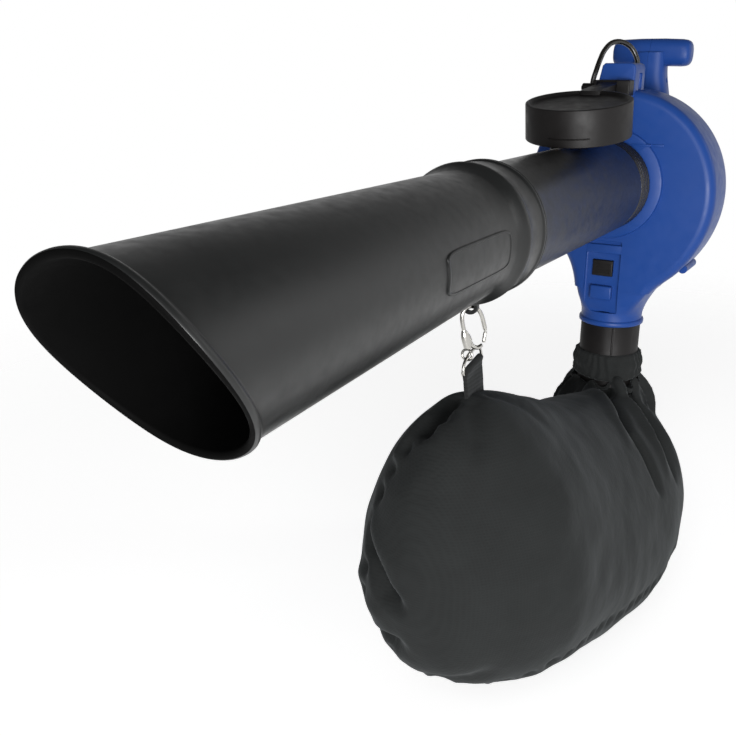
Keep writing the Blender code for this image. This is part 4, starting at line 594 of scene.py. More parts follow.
def smooth(shape: Shape, times: int, factor: float) -> None:
    """Evens out a mesh."""
    for _ in range(times):
        bmesh.ops.smooth_vert(shape, verts=shape.verts, factor=factor, use_axis_x=True, use_axis_y=True,
                              use_axis_z=True)


def slice_across(shape: Shape, normal: Point, low: float, size: float, parts: int) -> None:
    """Cuts even edges across a mesh, so that it can bend there.

    Args:
        shape: The mesh.
        normal: The direction along which the cuts follow each other.
        low: Where the sliced length starts.
        size: The sliced length.
        parts: How many parts it gets.
    """
    for cut in range(1, parts):
        bmesh.ops.bisect_plane(shape, geom=shape.verts[:] + shape.edges[:] + shape.faces[:],
                               plane_co=Vector(normal) * (low + cut * size / parts), plane_no=normal)


def evaluated(obj: bpy.types.Object) -> Shape:
    """Applies an object's modifiers, removes the object and gives the shape."""
    bpy.context.view_layer.update()
    mesh = bpy.data.meshes.new_from_object(obj.evaluated_get(bpy.context.evaluated_depsgraph_get()))
    shape = bmesh.new()
    shape.from_mesh(mesh)
    bpy.data.meshes.remove(mesh)
    discard(obj)
    return shape


def joined(base: Shape, others: Iterable[tuple[Join, Shape]]) -> Shape:
    """Joins closed shapes one after another.

    Args:
        base: The first shape.
        others: Each further shape and how it is joined.

    Returns:
        The joined shape.
    """
    obj = temporary(base)
    helpers = []
    for how, shape in others:
        helper = temporary(shape)
        helpers.append(helper)
        modifier = obj.modifiers.new(how.value.lower(), "BOOLEAN")
        modifier.operation = how.value
        modifier.object = helper
        modifier.solver = "EXACT"
    result = evaluated(obj)
    for helper in helpers:
        discard(helper)
    bmesh.ops.remove_doubles(result, verts=result.verts, dist=MERGE)
    bmesh.ops.dissolve_degenerate(result, edges=result.edges, dist=MERGE)
    return result


def as_piece(name: str, shape: Shape, seat: Seat, sharp: float = 40.0, edge: float = 0.0,
             painted_shade_faces: Callable[[Vector], bool] | None = None) -> bpy.types.Object:
    """Turns a shape into a finished piece at the origin, riding on its body.

    Args:
        name: The piece's name.
        shape: Its mesh in the machine's frame.
        seat: Its body, slot and the nodes that it stands for.
        sharp: Angle in degrees from which an edge stays sharp.
        edge: Width of the small rounding on its sharp edges, in metres.
        painted_shade_faces: Tells by a face's middle whether it lies on the mould's matt core side, drawn
            near-black as painted shade.

    Returns:
        The piece.
    """
    bmesh.ops.recalc_face_normals(shape, faces=shape.faces)
    if painted_shade_faces:
        # faces on the core side take the second slot, a near-black copy of the plastic that paints shade
        # there
        for face in shape.faces:
            face.material_index = 1 if painted_shade_faces(face.calc_center_median()) else 0
    bmesh.ops.translate(shape, verts=shape.verts, vec=MACHINE_OFFSET)
    mesh = bpy.data.meshes.new(name)
    shape.to_mesh(mesh)
    shape.free()
    mesh.materials.append(MATERIALS[seat.slot])
    # second slot: the near-black copy of the plastic, painted shade
    if painted_shade_faces:
        mesh.materials.append(PAINTED_SHADE_PLASTIC)
    mesh.shade_smooth()
    mesh.set_sharp_from_angle(angle=math.radians(sharp))
    piece = placed(name, mesh)
    if edge:
        modifier = piece.modifiers.new("edge", "BEVEL")
        modifier.width = edge
        modifier.segments = 2
        modifier.limit_method = "ANGLE"
        modifier.angle_limit = math.radians(SOFT_EDGE_ANGLE)
        modifier.harden_normals = True
    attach(piece, seat.body)
    if seat.stands_for:
        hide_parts(*seat.stands_for)
    LOG.info("%s: %d faces, for %s", name, len(mesh.polygons), ", ".join(seat.stands_for) or "no node")
    return piece


@dataclass
class SuctionTube:
    """The straight tube from the nozzle's socket to the housing, with its stop flange and stepped neck."""

    radius: float = 0.0625
    wall: float = 0.0024
    length: float = 0.412
    flange_radius: float = 0.0697
    flange_y: float = -0.3690
    flange_width: float = 0.0036
    neck_radius: float = 0.0555
    neck_end_y: float = 0.063

    def build(self) -> Pieces:
        """Spins the tube."""
        r, inner, back = self.radius, self.radius - self.wall, self.flange_y + self.flange_width
        profile = [(inner, -self.length), (r - 0.0006, -self.length), (r, -self.length + 0.0006),
                   (r, self.flange_y), (self.flange_radius - 0.0008, self.flange_y),
                   (self.flange_radius, self.flange_y + 0.0008), (self.flange_radius, back - 0.0012),
                   (self.flange_radius - 0.0004, back - 0.0004), (self.flange_radius - 0.0012, back),
                   (r + 0.0012, back + 0.0003), (r + 0.0003, back + 0.0010), (r, back + 0.0022)]
        profile += [(r, -0.0030), (r - 0.0006, -0.0012), (r - 0.0016, -0.0003), (r - 0.0030, 0.0),
                    (self.neck_radius + 0.0010, 0.0), (self.neck_radius, 0.0010),
                    (self.neck_radius, self.neck_end_y), (self.neck_radius - self.wall, self.neck_end_y),
                    (self.neck_radius - self.wall, -0.0040), (inner, -0.0120)]
        bore = self.radius - self.wall * 0.6
        # faces inside the bore get the near-black copy of the plastic: painted shade
        return [as_piece("tube_shell", spun(profile), Seat("machine", "black_plastic", ["suction_tube"]),
                         sharp=50, painted_shade_faces=lambda p: math.hypot(p.x, p.z) < bore and p.y < -0.0050)]


@dataclass
class Nozzle:
    """The flared nozzle with its beaded socket, slanted mouth, bare badge panel and the bag's lug."""

    socket_radius: float = 0.0628
    socket_outer: float = 0.0680
    socket_ring: float = 0.0710
    flange_radius: float = 0.0697
    rear_y: float = -0.3693
    socket_front_y: float = -0.4150
    start_y: float = -0.4320
    start_radius: float = 0.0640
    mouth_y: float = -0.8587
    mouth_radius: float = 0.0745
    mouth_drop: float = 0.0100
    bead: float = 0.0042
    bead_width: float = 0.0095
    lip_half_height: float = 0.076
    lip_curve: tuple[float, float, float] = (-0.7307, 0.0916, 0.1779)
    badge_size: tuple[float, float] = (0.134, 0.038)
    badge_rise: float = 0.0014
    lug_y: float = -0.390
    lug_drop: float = 0.0768
    lug_radius: float = 0.0094
    lug_hole: float = 0.0054
    lug_thickness: float = 0.0044

    def lip_y(self, height: float) -> float:
        """Gives the mouth's edge along the tube at a height from -1 to 1."""
        slope, bow, sweep = self.lip_curve
        curve = slope * height + bow * height ** 2 + sweep * height ** 3
        return self.mouth_y + self.lip_half_height * curve

    def taper(self, y: float) -> float:
        """Gives how far a place is from the socket, 0, to the mouth, 1."""
        return (y - self.start_y) / (self.mouth_y - self.start_y)

    def radius_at(self, y: float) -> float:
        """Gives the taper's radius at a place along the tube."""
        return self.start_radius + self.taper(y) * (self.mouth_radius - self.start_radius)

    def ring(self, share: float, grow: float, back: float = 0.0) -> Ring:
        """Gives one ring of the taper.

        Args:
            share: 0 at the socket, 1 at the slanted mouth.
            grow: Added to the radius.
            back: Distance back from that place, towards the socket.

        Returns:
            The ring's points.
        """
        points = []
        for angle in angles(FINE):
            height = math.sin(angle)
            y = self.start_y + share * (self.lip_y(height) - self.start_y) + back
            radius = self.radius_at(y) + grow
            points.append(Vector((radius * math.cos(angle), y,
                                  radius * height - self.taper(y) * self.mouth_drop)))
        return points

    def takes_painted_shade(self, point: Vector) -> bool:
        """Tells whether a point lies on the taper's inner side or on the lip's front."""
        # the faces found here get the near-black copy of the plastic, painted shade in the bore and on the
        # lip's front
        height = point.z + self.taper(point.y) * self.mouth_drop
        out = math.hypot(point.x, height)
        if out < self.radius_at(point.y) - WALL * 0.7:
            return True
        return point.y < self.lip_y(height / out) + self.bead_width * 0.06

    def flat(self, y: float, radius: float) -> Ring:
        """Gives a round ring square to the tube."""
        return [Vector((radius * math.cos(a), y, radius * math.sin(a))) for a in angles(FINE)]

    def shell(self) -> Shape:
        """Lofts the nozzle's wall from the socket to the mouth and back inside."""
        front, rear, out, top = self.socket_front_y, self.rear_y, self.socket_outer, self.socket_ring
        flats = [(rear, self.socket_radius), (rear, self.flange_radius - 0.0012),
                 (rear - 0.0004, self.flange_radius - 0.0004), (rear - 0.0012, self.flange_radius),
                 (rear - 0.0030, self.flange_radius), (rear - 0.0040, self.flange_radius - 0.0006),
                 (rear - 0.0048, out + 0.0004), (rear - 0.0062, out), (front + 0.0100, out + 0.0010),
                 (front + 0.0078, out + 0.0014), (front + 0.0058, out + 0.0024),
                 (front + 0.0040, top - 0.0002), (front + 0.0022, top), (front - 0.0002, top - 0.0003),
                 (front - 0.0022, top - 0.0014), (front - 0.0052, self.start_radius + 0.0040),
                 (front - 0.0090, self.start_radius + 0.0024),
                 (self.start_y + 0.0036, self.start_radius + 0.0010)]
        rings = [self.flat(y, radius) for y, radius in flats]
        rings += [self.ring(share, 0.0) for share in (0.0, 0.08, 0.25, 0.45, 0.65, 0.85)]
        wide, bead = self.bead_width, self.bead
        lip = [(wide + 0.0030, 0.0), (wide, 0.0004), (wide - 0.0012, 0.0016), (wide - 0.0024, bead * 0.78),
               (wide - 0.0042, bead * 0.97), (wide * 0.42, bead), (wide * 0.22, bead * 0.94),
               (wide * 0.08, bead * 0.72), (0.0, bead * 0.42), (0.0, 0.0), (0.0006, -WALL * 0.6),
               (0.0022, -WALL)]
        rings += [self.ring(1.0, grow, back) for back, grow in lip]
        rings += [self.ring(share, -WALL) for share in (0.7, 0.35, 0.0)]
        rings += [self.flat(front - GAP, self.start_radius - WALL), self.flat(front, self.socket_radius)]
        return lofted(rings, closed=True)

    def badge(self) -> Shape:
        """Raises the bare badge panel on the taper: a plate with a bead round its edge."""
        shape = bmesh.new()
        length, height = self.badge_size
        outline = oval(length / 2, height / 2, 7, 96)
        middle = self.socket_front_y - 0.032 - length / 2
        corners = [shape.verts.new((a, b, -0.0006)) for a, b in outline]
        face = bmesh.ops.contextual_create(shape, geom=corners)["faces"]
        grown = bmesh.ops.extrude_face_region(shape, geom=face)["geom"]
        top = [g for g in grown if isinstance(g, bmesh.types.BMFace)]
        bmesh.ops.translate(shape, verts=[g for g in grown if isinstance(g, bmesh.types.BMVert)],
                            vec=(0, 0, self.badge_rise + 0.0006))
        for thickness, depth in ((0.0006, 0.0004), (0.0013, 0.0), (0.0006, -0.0007)):
            bmesh.ops.inset_region(shape, faces=top, thickness=thickness, depth=depth, use_even_offset=True)
        slice_across(shape, (1, 0, 0), -length / 2, length, 30)
        slice_across(shape, (0, 1, 0), -height / 2, height, 12)
        for vertex in shape.verts:
            y = middle + vertex.co.x
            radius = self.radius_at(y) + vertex.co.z
            z = vertex.co.y - 0.001
            drop = z + self.taper(y) * self.mouth_drop
            vertex.co = (math.sqrt(radius ** 2 - drop ** 2), y, z)
        return shape

    def lug(self) -> Shape:
        """Makes the round-ended lug that carries the bag's hook."""
        r, drop = self.lug_radius, self.lug_drop
        ends = [math.pi + math.pi * i / 24 for i in range(25)]
        foot = -self.socket_radius - 0.0010
        outline = [(-r, foot)] + [(r * math.cos(a), -drop + r * math.sin(a)) for a in ends] + [(r, foot)]
        half = self.lug_thickness / 2
        plate = extruded(outline, Axis.Y, self.lug_y - half, self.lug_y + half, 0.0007)
        hole = rod(self.lug_hole, -0.02, 0.02, Axis.Y, (0, self.lug_y, -drop), 40)
        return joined(plate, [(Join.CUT, hole)])

    def build(self) -> Pieces:
        """Builds shell, badge panel and lug."""
        seat = Seat("machine", "black_plastic")
        # the bore and the lip's front get the near-black copy of the plastic: painted shade
        return [as_piece("nozzle_shell", self.shell(), Seat("machine", "black_plastic", ["nozzle"]), sharp=60,
                         painted_shade_faces=self.takes_painted_shade),
                as_piece("badge_panel", self.badge(), seat, sharp=55),
                as_piece("bag_lug", self.lug(), seat, edge=0.0004)]


@dataclass
class VoluteHousing:
    """The blue scroll housing in two halves.

    It has a top block, bosses, an inlet ring, a ledge, a neck and a latch panel.
    """

    front_y: float = 0.050
    depth: float = 0.087
    tongue_radius: float = 0.112
    growth: float = 0.0485
    power: float = 1.9
    sweep: float = 300.0
    tongue_angle: float = 244.0
    rim: float = 0.013
    ring_radius: float = 0.0765
    ring_height: float = 0.0042
    block_width: float = 0.052
    block_top: float = 0.160
    outlet_x: float = 0.0104
    outlet_radius: float = 0.0452
    outlet_end: float = -0.2065
    sleeve_radius: float = 0.0430
    neck_bore: float = 0.0558
    panel_x: tuple[float, float] = (-0.022, 0.029)
    panel_z: tuple[float, float] = (-0.186, -0.080)
    panel_depth: float = 0.005
    button: tuple[float, float, float, float] = LATCH_BUTTON
    side_floor: float = -0.148
    boss_radius: float = 0.0062
    drain_radius: float = 0.0400
    shaft_bore: float = 0.0118
    relief_bore: float = 0.0058
    relief_place: tuple[float, float] = (0.010, 0.1115)
    shelf_z: tuple[float, float] = (0.0530, 0.0562)

    @property
    def back_y(self) -> float:
        """Gives the rear face."""
        return self.front_y + self.depth

    @property
    def parting_y(self) -> float:
        """Gives the plane where the halves meet."""
        return self.front_y + self.depth / 2

    def scroll_radius(self, angle: float) -> float:
        """Gives the scroll's radius at an angle in degrees, from +X towards +Z."""
        turn = (self.tongue_angle - angle) % 360
        if turn <= self.sweep:
            return self.tongue_radius + self.growth * (turn / self.sweep) ** self.power
        return self.tongue_radius + self.growth * (1 - (turn - self.sweep) / (360 - self.sweep))

    def polar(self, angle: float) -> tuple[float, float]:
        """Gives the point of the scroll's outline at an angle."""
        radius = self.scroll_radius(angle)
        return radius * math.cos(math.radians(angle)), radius * math.sin(math.radians(angle))

    def outline(self) -> list[tuple[float, float]]:
        """Gives the whole outline seen along the tube: scroll, and the neck flowing out of it."""
        scroll = [self.polar(-46 + 2.0 * i) for i in range(137)]
        left = metres([(-66, -92.5), (-56, -104.5), (-47.8, -119), (-42, -135), (-38.5, -152)])
        right = metres([(71.5, -152), (80, -142), (90.5, -132.5), (101.5, -122.5)])
        edge = curve_through([scroll[-1]] + left, 5)[1:] + curve_through(right + [scroll[0]], 5)[:-1]
        return scroll + edge

    def plate(self, inset: float) -> Shape:
        """Lofts the scroll and upper neck with round rims; the inset makes the cavity."""
        outline = [Vector(p) for p in self.outline()]
        outward = []
        for i, point in enumerate(outline):
            run = outline[(i + 1) % len(outline)] - outline[i - 1]
            across = Vector((run.y, -run.x)).normalized()
            if point.y < self.side_floor:
                across = Vector((math.copysign(1.0, point.x), 0.0))
            outward.append(across)
        turn = self.rim - inset * 0.5
        front, back = self.front_y + inset, self.back_y - inset
        steps = quarter_round(turn)
        places = [(front + along, deep) for along, deep in steps]
        places += [(back - along, deep) for along, deep in reversed(steps)]
        rings = []
        for y, deep in places:
            moved = [p - n * (inset + deep) for p, n in zip(outline, outward)]
            rings.append([Vector((p.x, y, p.y)) for p in moved])
        return lofted(rings)

    def lower_neck(self, inset: float) -> Shape:
        """Lofts the neck's lower part from a rounded box to a circle."""
        rows = metres([(-118, -48, 83, 43.3, 13), (-136, -41.9, 80, 43.3, 13),
                       (-152, -38.5, 71.2, 43.3, 15), (-166, -36.8, 63.2, 43.4, 22),
                       (-178, -35.2, 58, 43.7, 33), (-190, -33.8, 54.8, 44, 44)])
        rows += [(self.outlet_end + 0.003, -0.0336, 0.0544, 0.0440, 0.0440)]
        rings = []
        for z, left, right, half_y, corner in curve_through(rows, 4):
            half_x = (right - left) / 2 - inset
            ring = rounded_box(half_x, half_y - inset, max(0.002, corner - inset), 96)
            rings.append([Vector(((left + right) / 2 + a, self.parting_y + b, z)) for a, b in ring])
        return lofted(rings)

    def boss_places(self) -> list[tuple[float, float]]:
        """Gives the centres of the rim's screw bosses."""
        places = []
        for angle in (-46.0, 150.0, 205.0):
            radius = self.scroll_radius(angle) + 0.0012
            places.append((radius * math.cos(math.radians(angle)), radius * math.sin(math.radians(angle))))
        return places

    def top_block(self) -> Shape:
        """Makes the block on top that carries the cover's bracket, with its rounded shoulders."""
        half, top = self.block_width / 2, self.block_top
        outline = [(-half - 0.004, 0.104), (half, 0.104), (half, top - 0.006), (half - 0.0018, top - 0.0018),
                   (half - 0.006, top), (-half + 0.010, top), (-half + 0.0065, top - 0.003)]
        return extruded(outline, Axis.Y, self.front_y - 0.0006, self.parting_y + 0.0050, 0.0022)

    def outer(self) -> Steps:
        """Lists what is added to and cut from the scroll's outside."""
        steps: Steps = [(Join.ADD, self.lower_neck(0.0)), (Join.ADD, self.top_block())]
        lip, end = self.outlet_radius, self.outlet_end
        ring = [(self.sleeve_radius - 0.010, end), (lip - 0.0002, end), (lip + 0.0012, end + 0.0008),
                (lip + 0.0016, end + 0.0022), (lip + 0.0016, end + 0.0056), (lip + 0.0010, end + 0.0068),
                (lip - 0.0004, end + 0.0078), (self.sleeve_radius - 0.010, end + 0.0078)]
        steps.append((Join.ADD, spun(ring, Axis.Z, (self.outlet_x, self.parting_y, 0), 96)))
        low, high = self.parting_y - 0.0200, self.back_y - 0.0060
        for x, z in self.boss_places():
            r = self.boss_radius
            boss = [(0.0, low), (r - 0.0008, low), (r, low + 0.0008), (r, high - 0.0006), (r - 0.0006, high),
                    (0.0, high)]
            steps.append((Join.ADD, spun(boss, Axis.Y, (x, 0, z), 32)))
        front, raised = self.front_y - self.ring_height, self.ring_radius
        ring = [(self.neck_bore - 0.01, front), (raised - 0.0024, front),
                (raised - 0.0008, front + 0.0008), (raised, front + 0.0024),
                (raised + 0.0006, self.front_y + 0.001), (self.neck_bore - 0.01, self.front_y + 0.001)]
        steps.append((Join.ADD, spun(ring, Axis.Y)))
        floor, top = self.shelf_z
        for left, right, deep in ((0.041, 0.073, 0.0016), (0.030, 0.056, 0.0050)):
            shelf = slab((left, self.front_y - deep, floor), (right, self.front_y + 0.001, top), 0.0006)
            steps.append((Join.ADD, shelf))
        (left, right), (foot, head) = self.panel_x, self.panel_z
        floor_y = self.front_y + self.panel_depth
        steps.append((Join.CUT, slab((left, self.front_y - 0.02, foot), (right, floor_y, head), 0.0022)))
        x, z, wide, tall = self.button
        step_low = (x - wide / 2, self.front_y - 0.0030, z - tall / 2 - 0.0340)
        step_high = (x + wide / 2 + 0.002, floor_y + 0.001, z - tall / 2 - 0.0140)
        steps.append((Join.ADD, slab(step_low, step_high, 0.0018)))
        sill_low, sill_high = (left - 0.001, self.front_y + 0.0006,
                               -0.0985), (right + 0.001, floor_y + 0.001, -0.0860)
        steps.append((Join.ADD, slab(sill_low, sill_high, 0.0012)))
        return steps

    def inner(self) -> Steps:
        """Lists the cuts that hollow the housing and open it."""
        x, z, wide, tall = self.button
        keep = slab((self.panel_x[0] - WALL, self.front_y - 0.02, self.panel_z[0] - WALL),
                    (self.panel_x[1] + WALL, self.front_y + self.panel_depth + WALL, self.panel_z[1] + WALL))
        cavity = joined(self.plate(WALL), [(Join.ADD, self.lower_neck(WALL)), (Join.CUT, keep)])
        bore = rod(self.neck_bore, 0.0, 0.07)
        drain = rod(self.drain_radius, -0.24, -0.185, Axis.Z, (self.outlet_x, self.parting_y, 0), 96)
        window = slab((x - wide / 2 - 0.0005, self.front_y - 0.01, z - tall / 2 - 0.0005),
                      (x + wide / 2 + 0.0005, self.front_y + 0.02, z + tall / 2 + 0.0005))
        half = self.block_width / 2
        slot = slab((half - 0.0045, self.front_y + 0.0195, 0.1235),
                    (half + 0.01, self.front_y + 0.0345, 0.1475), 0.0020)
        shaft = rod(self.shaft_bore, 0.12, 0.15, steps=32)
        relief = rod(self.relief_bore, 0.10, 0.15, Axis.Z, (*self.relief_place, 0), 32)
        return [(Join.CUT, shape) for shape in (cavity, bore, drain, window, slot, shaft, relief)]

    def build(self) -> Pieces:
        """Builds the two halves."""
        pieces = []
        limits = {"front_volute": (-0.1, self.parting_y - GAP / 2),
                  "rear_volute": (self.parting_y + GAP / 2, 0.3)}
        for node, (low, high) in limits.items():
            steps = self.outer() + self.inner() + [(Join.KEEP, slab((-0.4, low, -0.4), (0.4, high, 0.4)))]
            shape = joined(self.plate(0.0), steps)
            pieces.append(as_piece(f"{node}_shell", shape, Seat("machine", "blue_plastic", [node]),
                                   sharp=32, edge=0.0005))
        return pieces


@dataclass
class RearHousing:
    """The motor bell, pillar and T-grip in left and right halves."""

    start_y: float = 0.1373
    back_y: float = 0.2593
    bell_radius: float = 0.0580
    grip_y: float = 0.226
    grip_z: float = 0.175
    bar: tuple[float, float, float] = (0.115, 0.036, 0.039)
    pillar_top: float = 0.046
    pillar_foot: float = 0.088
    pillar_depth: float = 0.046
    switch_z: float = 0.112
    switch_size: tuple[float, float] = (0.020, 0.030)
    ear_reach: float = 0.0085
    ear_radius: float = 0.0072
    ear_thickness: float = 0.0060
    boss_radius: float = 0.0062
    post_radius: float = 0.0055
    screw_bore: float = 0.0021
    head_bore: float = 0.0039
    vents: int = 4
    vent_low: float = -0.0195
    vent_pitch: float = 0.013

    def bell(self, inset: float) -> Shape:
        """Spins the motor bell."""
        start = self.start_y - (0.01 if inset else 0.0)
        back, turn, radius = self.back_y - inset, 0.010 - inset / 2, self.bell_radius - inset
        curve = [(radius - inward, back - short) for inward, short in quarter_round(turn)]
        return spun([(0.0, start), (radius, start)] + curve + [(0.0, back)], Axis.Y, steps=96)

    def pillar(self, inset: float) -> Shape:
        """Lofts the pillar between bell and bar."""
        rows = [(0.030, 1.0, 1.0), (0.060, 0.86, 0.98), (0.090, 0.60, 0.94), (0.120, 0.30, 0.9),
                (0.145, 0.08, 0.88), (self.grip_z, 0.0, 0.84)]
        rings = []
        for z, share, deep in curve_through(rows, 4):
            half_x = (self.pillar_top + share * (self.pillar_foot - self.pillar_top)) / 2 - inset
            half_y = self.pillar_depth / 2 * deep - inset
            rings.append([Vector((a, self.grip_y - 0.006 + b, z)) for a, b in oval(half_x, half_y, 3.2, 64)])
        return lofted(rings)

    def grip(self, inset: float) -> Shape:
        """Lofts the grip bar with its rounded ends."""
        length, deep, tall = self.bar
        side = [(1.0, 0.40), (0.992, 0.55), (0.978, 0.68), (0.955, 0.79), (0.92, 0.875), (0.86, 0.94),
                (0.76, 0.98), (0.30, 1.0)]
        rows = [(-x, size) for x, size in side] + [(x, size) for x, size in reversed(side)]
        rings = []
        for along, size in rows:
            x = along * (length / 2 - inset)
            half_y, half_z = deep / 2 * size - inset, tall / 2 * size - inset
            drop = 0.0015 * along * along
            rings.append([Vector((x, self.grip_y + a, self.grip_z - drop + b))
                          for a, b in oval(half_y, half_z, 2.5, 64)])
        return lofted(rings)

    def screws(self) -> list[tuple[float, float]]:
        """Gives the places, as y and z, of the screws that join the halves."""
        y = self.grip_y - 0.006
        return [(y, self.grip_z - 0.040), (y, 0.078), (self.start_y + 0.012, -self.bell_radius - 0.0035),
                (self.back_y - 0.024, -self.bell_radius - 0.0035)]

    def steps(self) -> Steps:
        """Lists what is added to the bell and cut from it."""
        steps: Steps = [(Join.ADD, self.pillar(0.0)), (Join.ADD, self.grip(0.0))]
        start, ear = self.start_y, self.bell_radius + self.ear_reach
        r, end = self.ear_radius, start + self.ear_thickness
        outline = [(0.0, start), (r, start), (r, end - 0.0006), (r - 0.0006, end), (0.0, end)]
        for x in (-ear, ear):
            steps.append((Join.ADD, spun(outline, Axis.Y, (x, 0, 0), 32)))
            inner = 0.85 * x
            web = slab((min(x, inner), start + 0.0002, -r), (max(x, inner), end - 0.0002, r))
            steps.append((Join.ADD, web))
        for y, z in self.screws()[2:]:
            steps.append((Join.ADD, rod(self.boss_radius, -0.012, 0.012, Axis.X, (0, y, z), 32)))
        hollow = [(Join.ADD, self.pillar(WALL)), (Join.ADD, self.grip(WALL))]
        for y, z in self.screws()[:2]:
            hollow.append((Join.CUT, rod(self.post_radius, -0.06, 0.06, Axis.X, (0, y, z), 24)))
        steps.append((Join.CUT, joined(self.bell(WALL), hollow)))
        for x in (-ear, ear):
            steps.append((Join.CUT, rod(self.screw_bore, start - 0.01, start + 0.02, Axis.Y, (x, 0, 0), 20)))
        for i, (y, z) in enumerate(self.screws()):
            steps.append((Join.CUT, rod(self.screw_bore, -0.0100, 0.08, Axis.X, (0, y, z), 20)))
            if i < 2:
                steps.append((Join.CUT, rod(self.head_bore, 0.0030, 0.08, Axis.X, (0, y, z), 24)))
        for i in range(self.vents):
            z = self.vent_low + self.vent_pitch * i
            low, high = (-0.09, self.back_y - 0.050, z - 0.002), (0.09, self.back_y - 0.020, z + 0.002)
            steps.append((Join.CUT, slab(low, high, 0.0012)))
        wide, tall = self.switch_size
        window_y = self.grip_y - 0.006 + self.pillar_depth / 2
        steps.append((Join.CUT, slab((-wide / 2 - GAP, window_y - 0.020, self.switch_z - tall / 2 - GAP),
                                     (wide / 2 + GAP, window_y + 0.010, self.switch_z + tall / 2 + GAP))))
        return steps

    def build(self) -> Pieces:
        """Builds the two halves."""
        pieces = []
        for node, (low, high) in {"rear_housing_left": (GAP / 2, 0.2),
                                  "rear_housing_right": (-0.2, -GAP / 2)}.items():
            shape = joined(self.bell(0.0),
                           self.steps() + [(Join.KEEP, slab((low, 0.0, -0.4), (high, 0.4, 0.4)))])
            pieces.append(as_piece(f"{node}_shell", shape, Seat("machine", "blue_plastic", [node]),
                                   sharp=32, edge=0.0004))
        return pieces


@dataclass
class OutletSleeve:
    """The black outlet sleeve with its seam rib, and the latch button in the neck's panel."""

    x: float = 0.0104
    y: float = 0.0935
    radius: float = 0.0430
    wall: float = 0.0022
    top: float = -0.2065
    insert: float = 0.0160
    bottom: float = -0.300
    rib_angle: float = -68.0
    rib_low: float = -0.249
    button: tuple[float, float, float, float] = LATCH_BUTTON
    button_face: float = 0.055
    proud: float = 0.0035

    def sleeve(self) -> Shape:
        """Spins the sleeve and adds its rib."""
        spigot = self.radius - self.wall - 0.0013
        bore, shoulder = spigot - self.wall, self.top - GAP
        profile = [(bore, self.top + self.insert), (spigot, self.top + self.insert), (spigot, shoulder),
                   (self.radius - 0.0006, shoulder), (self.radius, shoulder - 0.0006),
                   (self.radius, self.bottom), (bore, self.bottom)]
        angle = math.radians(self.rib_angle)
        place = (self.x + (self.radius - 0.0004) * math.cos(angle),
                 self.y + (self.radius - 0.0004) * math.sin(angle), 0)
        rib = spun([(0.0, self.rib_low), (0.0016, self.rib_low), (0.0016, shoulder - 0.0016),
                    (0.0010, shoulder - 0.0008), (0.0, shoulder - 0.0005)], Axis.Z, place, 24)
        return joined(spun(profile, Axis.Z, (self.x, self.y, 0)), [(Join.ADD, rib)])

    def latch(self) -> Shape:
        """Makes the button with four shallow grooves across its face and its hidden flange."""
        x, z, wide, tall = self.button
        face, back = self.button_face - self.proud, self.button_face + WALL + GAP
        half_x, half_z, lip = wide / 2, tall / 2, 0.0020
        cap = slab((x - half_x, face, z - half_z), (x + half_x, back + lip, z + half_z), 0.0011, 4)
        flange = slab((x - half_x - lip, back, z - half_z - lip),
                      (x + half_x + lip, back + lip, z + half_z + lip))
        steps = [(Join.ADD, flange)]
        for step in (-0.0060, -0.0020, 0.0020, 0.0060):
            low = (x - half_x + 0.004, face - 0.001, z + step - 0.0008)
            steps.append((Join.CUT, slab(low, (x + half_x - 0.004, face + 0.0007, z + step + 0.0008))))
        return joined(cap, steps)

    def build(self) -> Pieces:
        """Builds sleeve and button."""
        sleeve = as_piece("sleeve_shell", self.sleeve(),
                          Seat("machine", "cover_plastic", ["outlet_sleeve"]), 45)
        button = as_piece("latch_cap", self.latch(), Seat("button", "cover_plastic", ["latch_button"]), 30)
        return [sleeve, button]


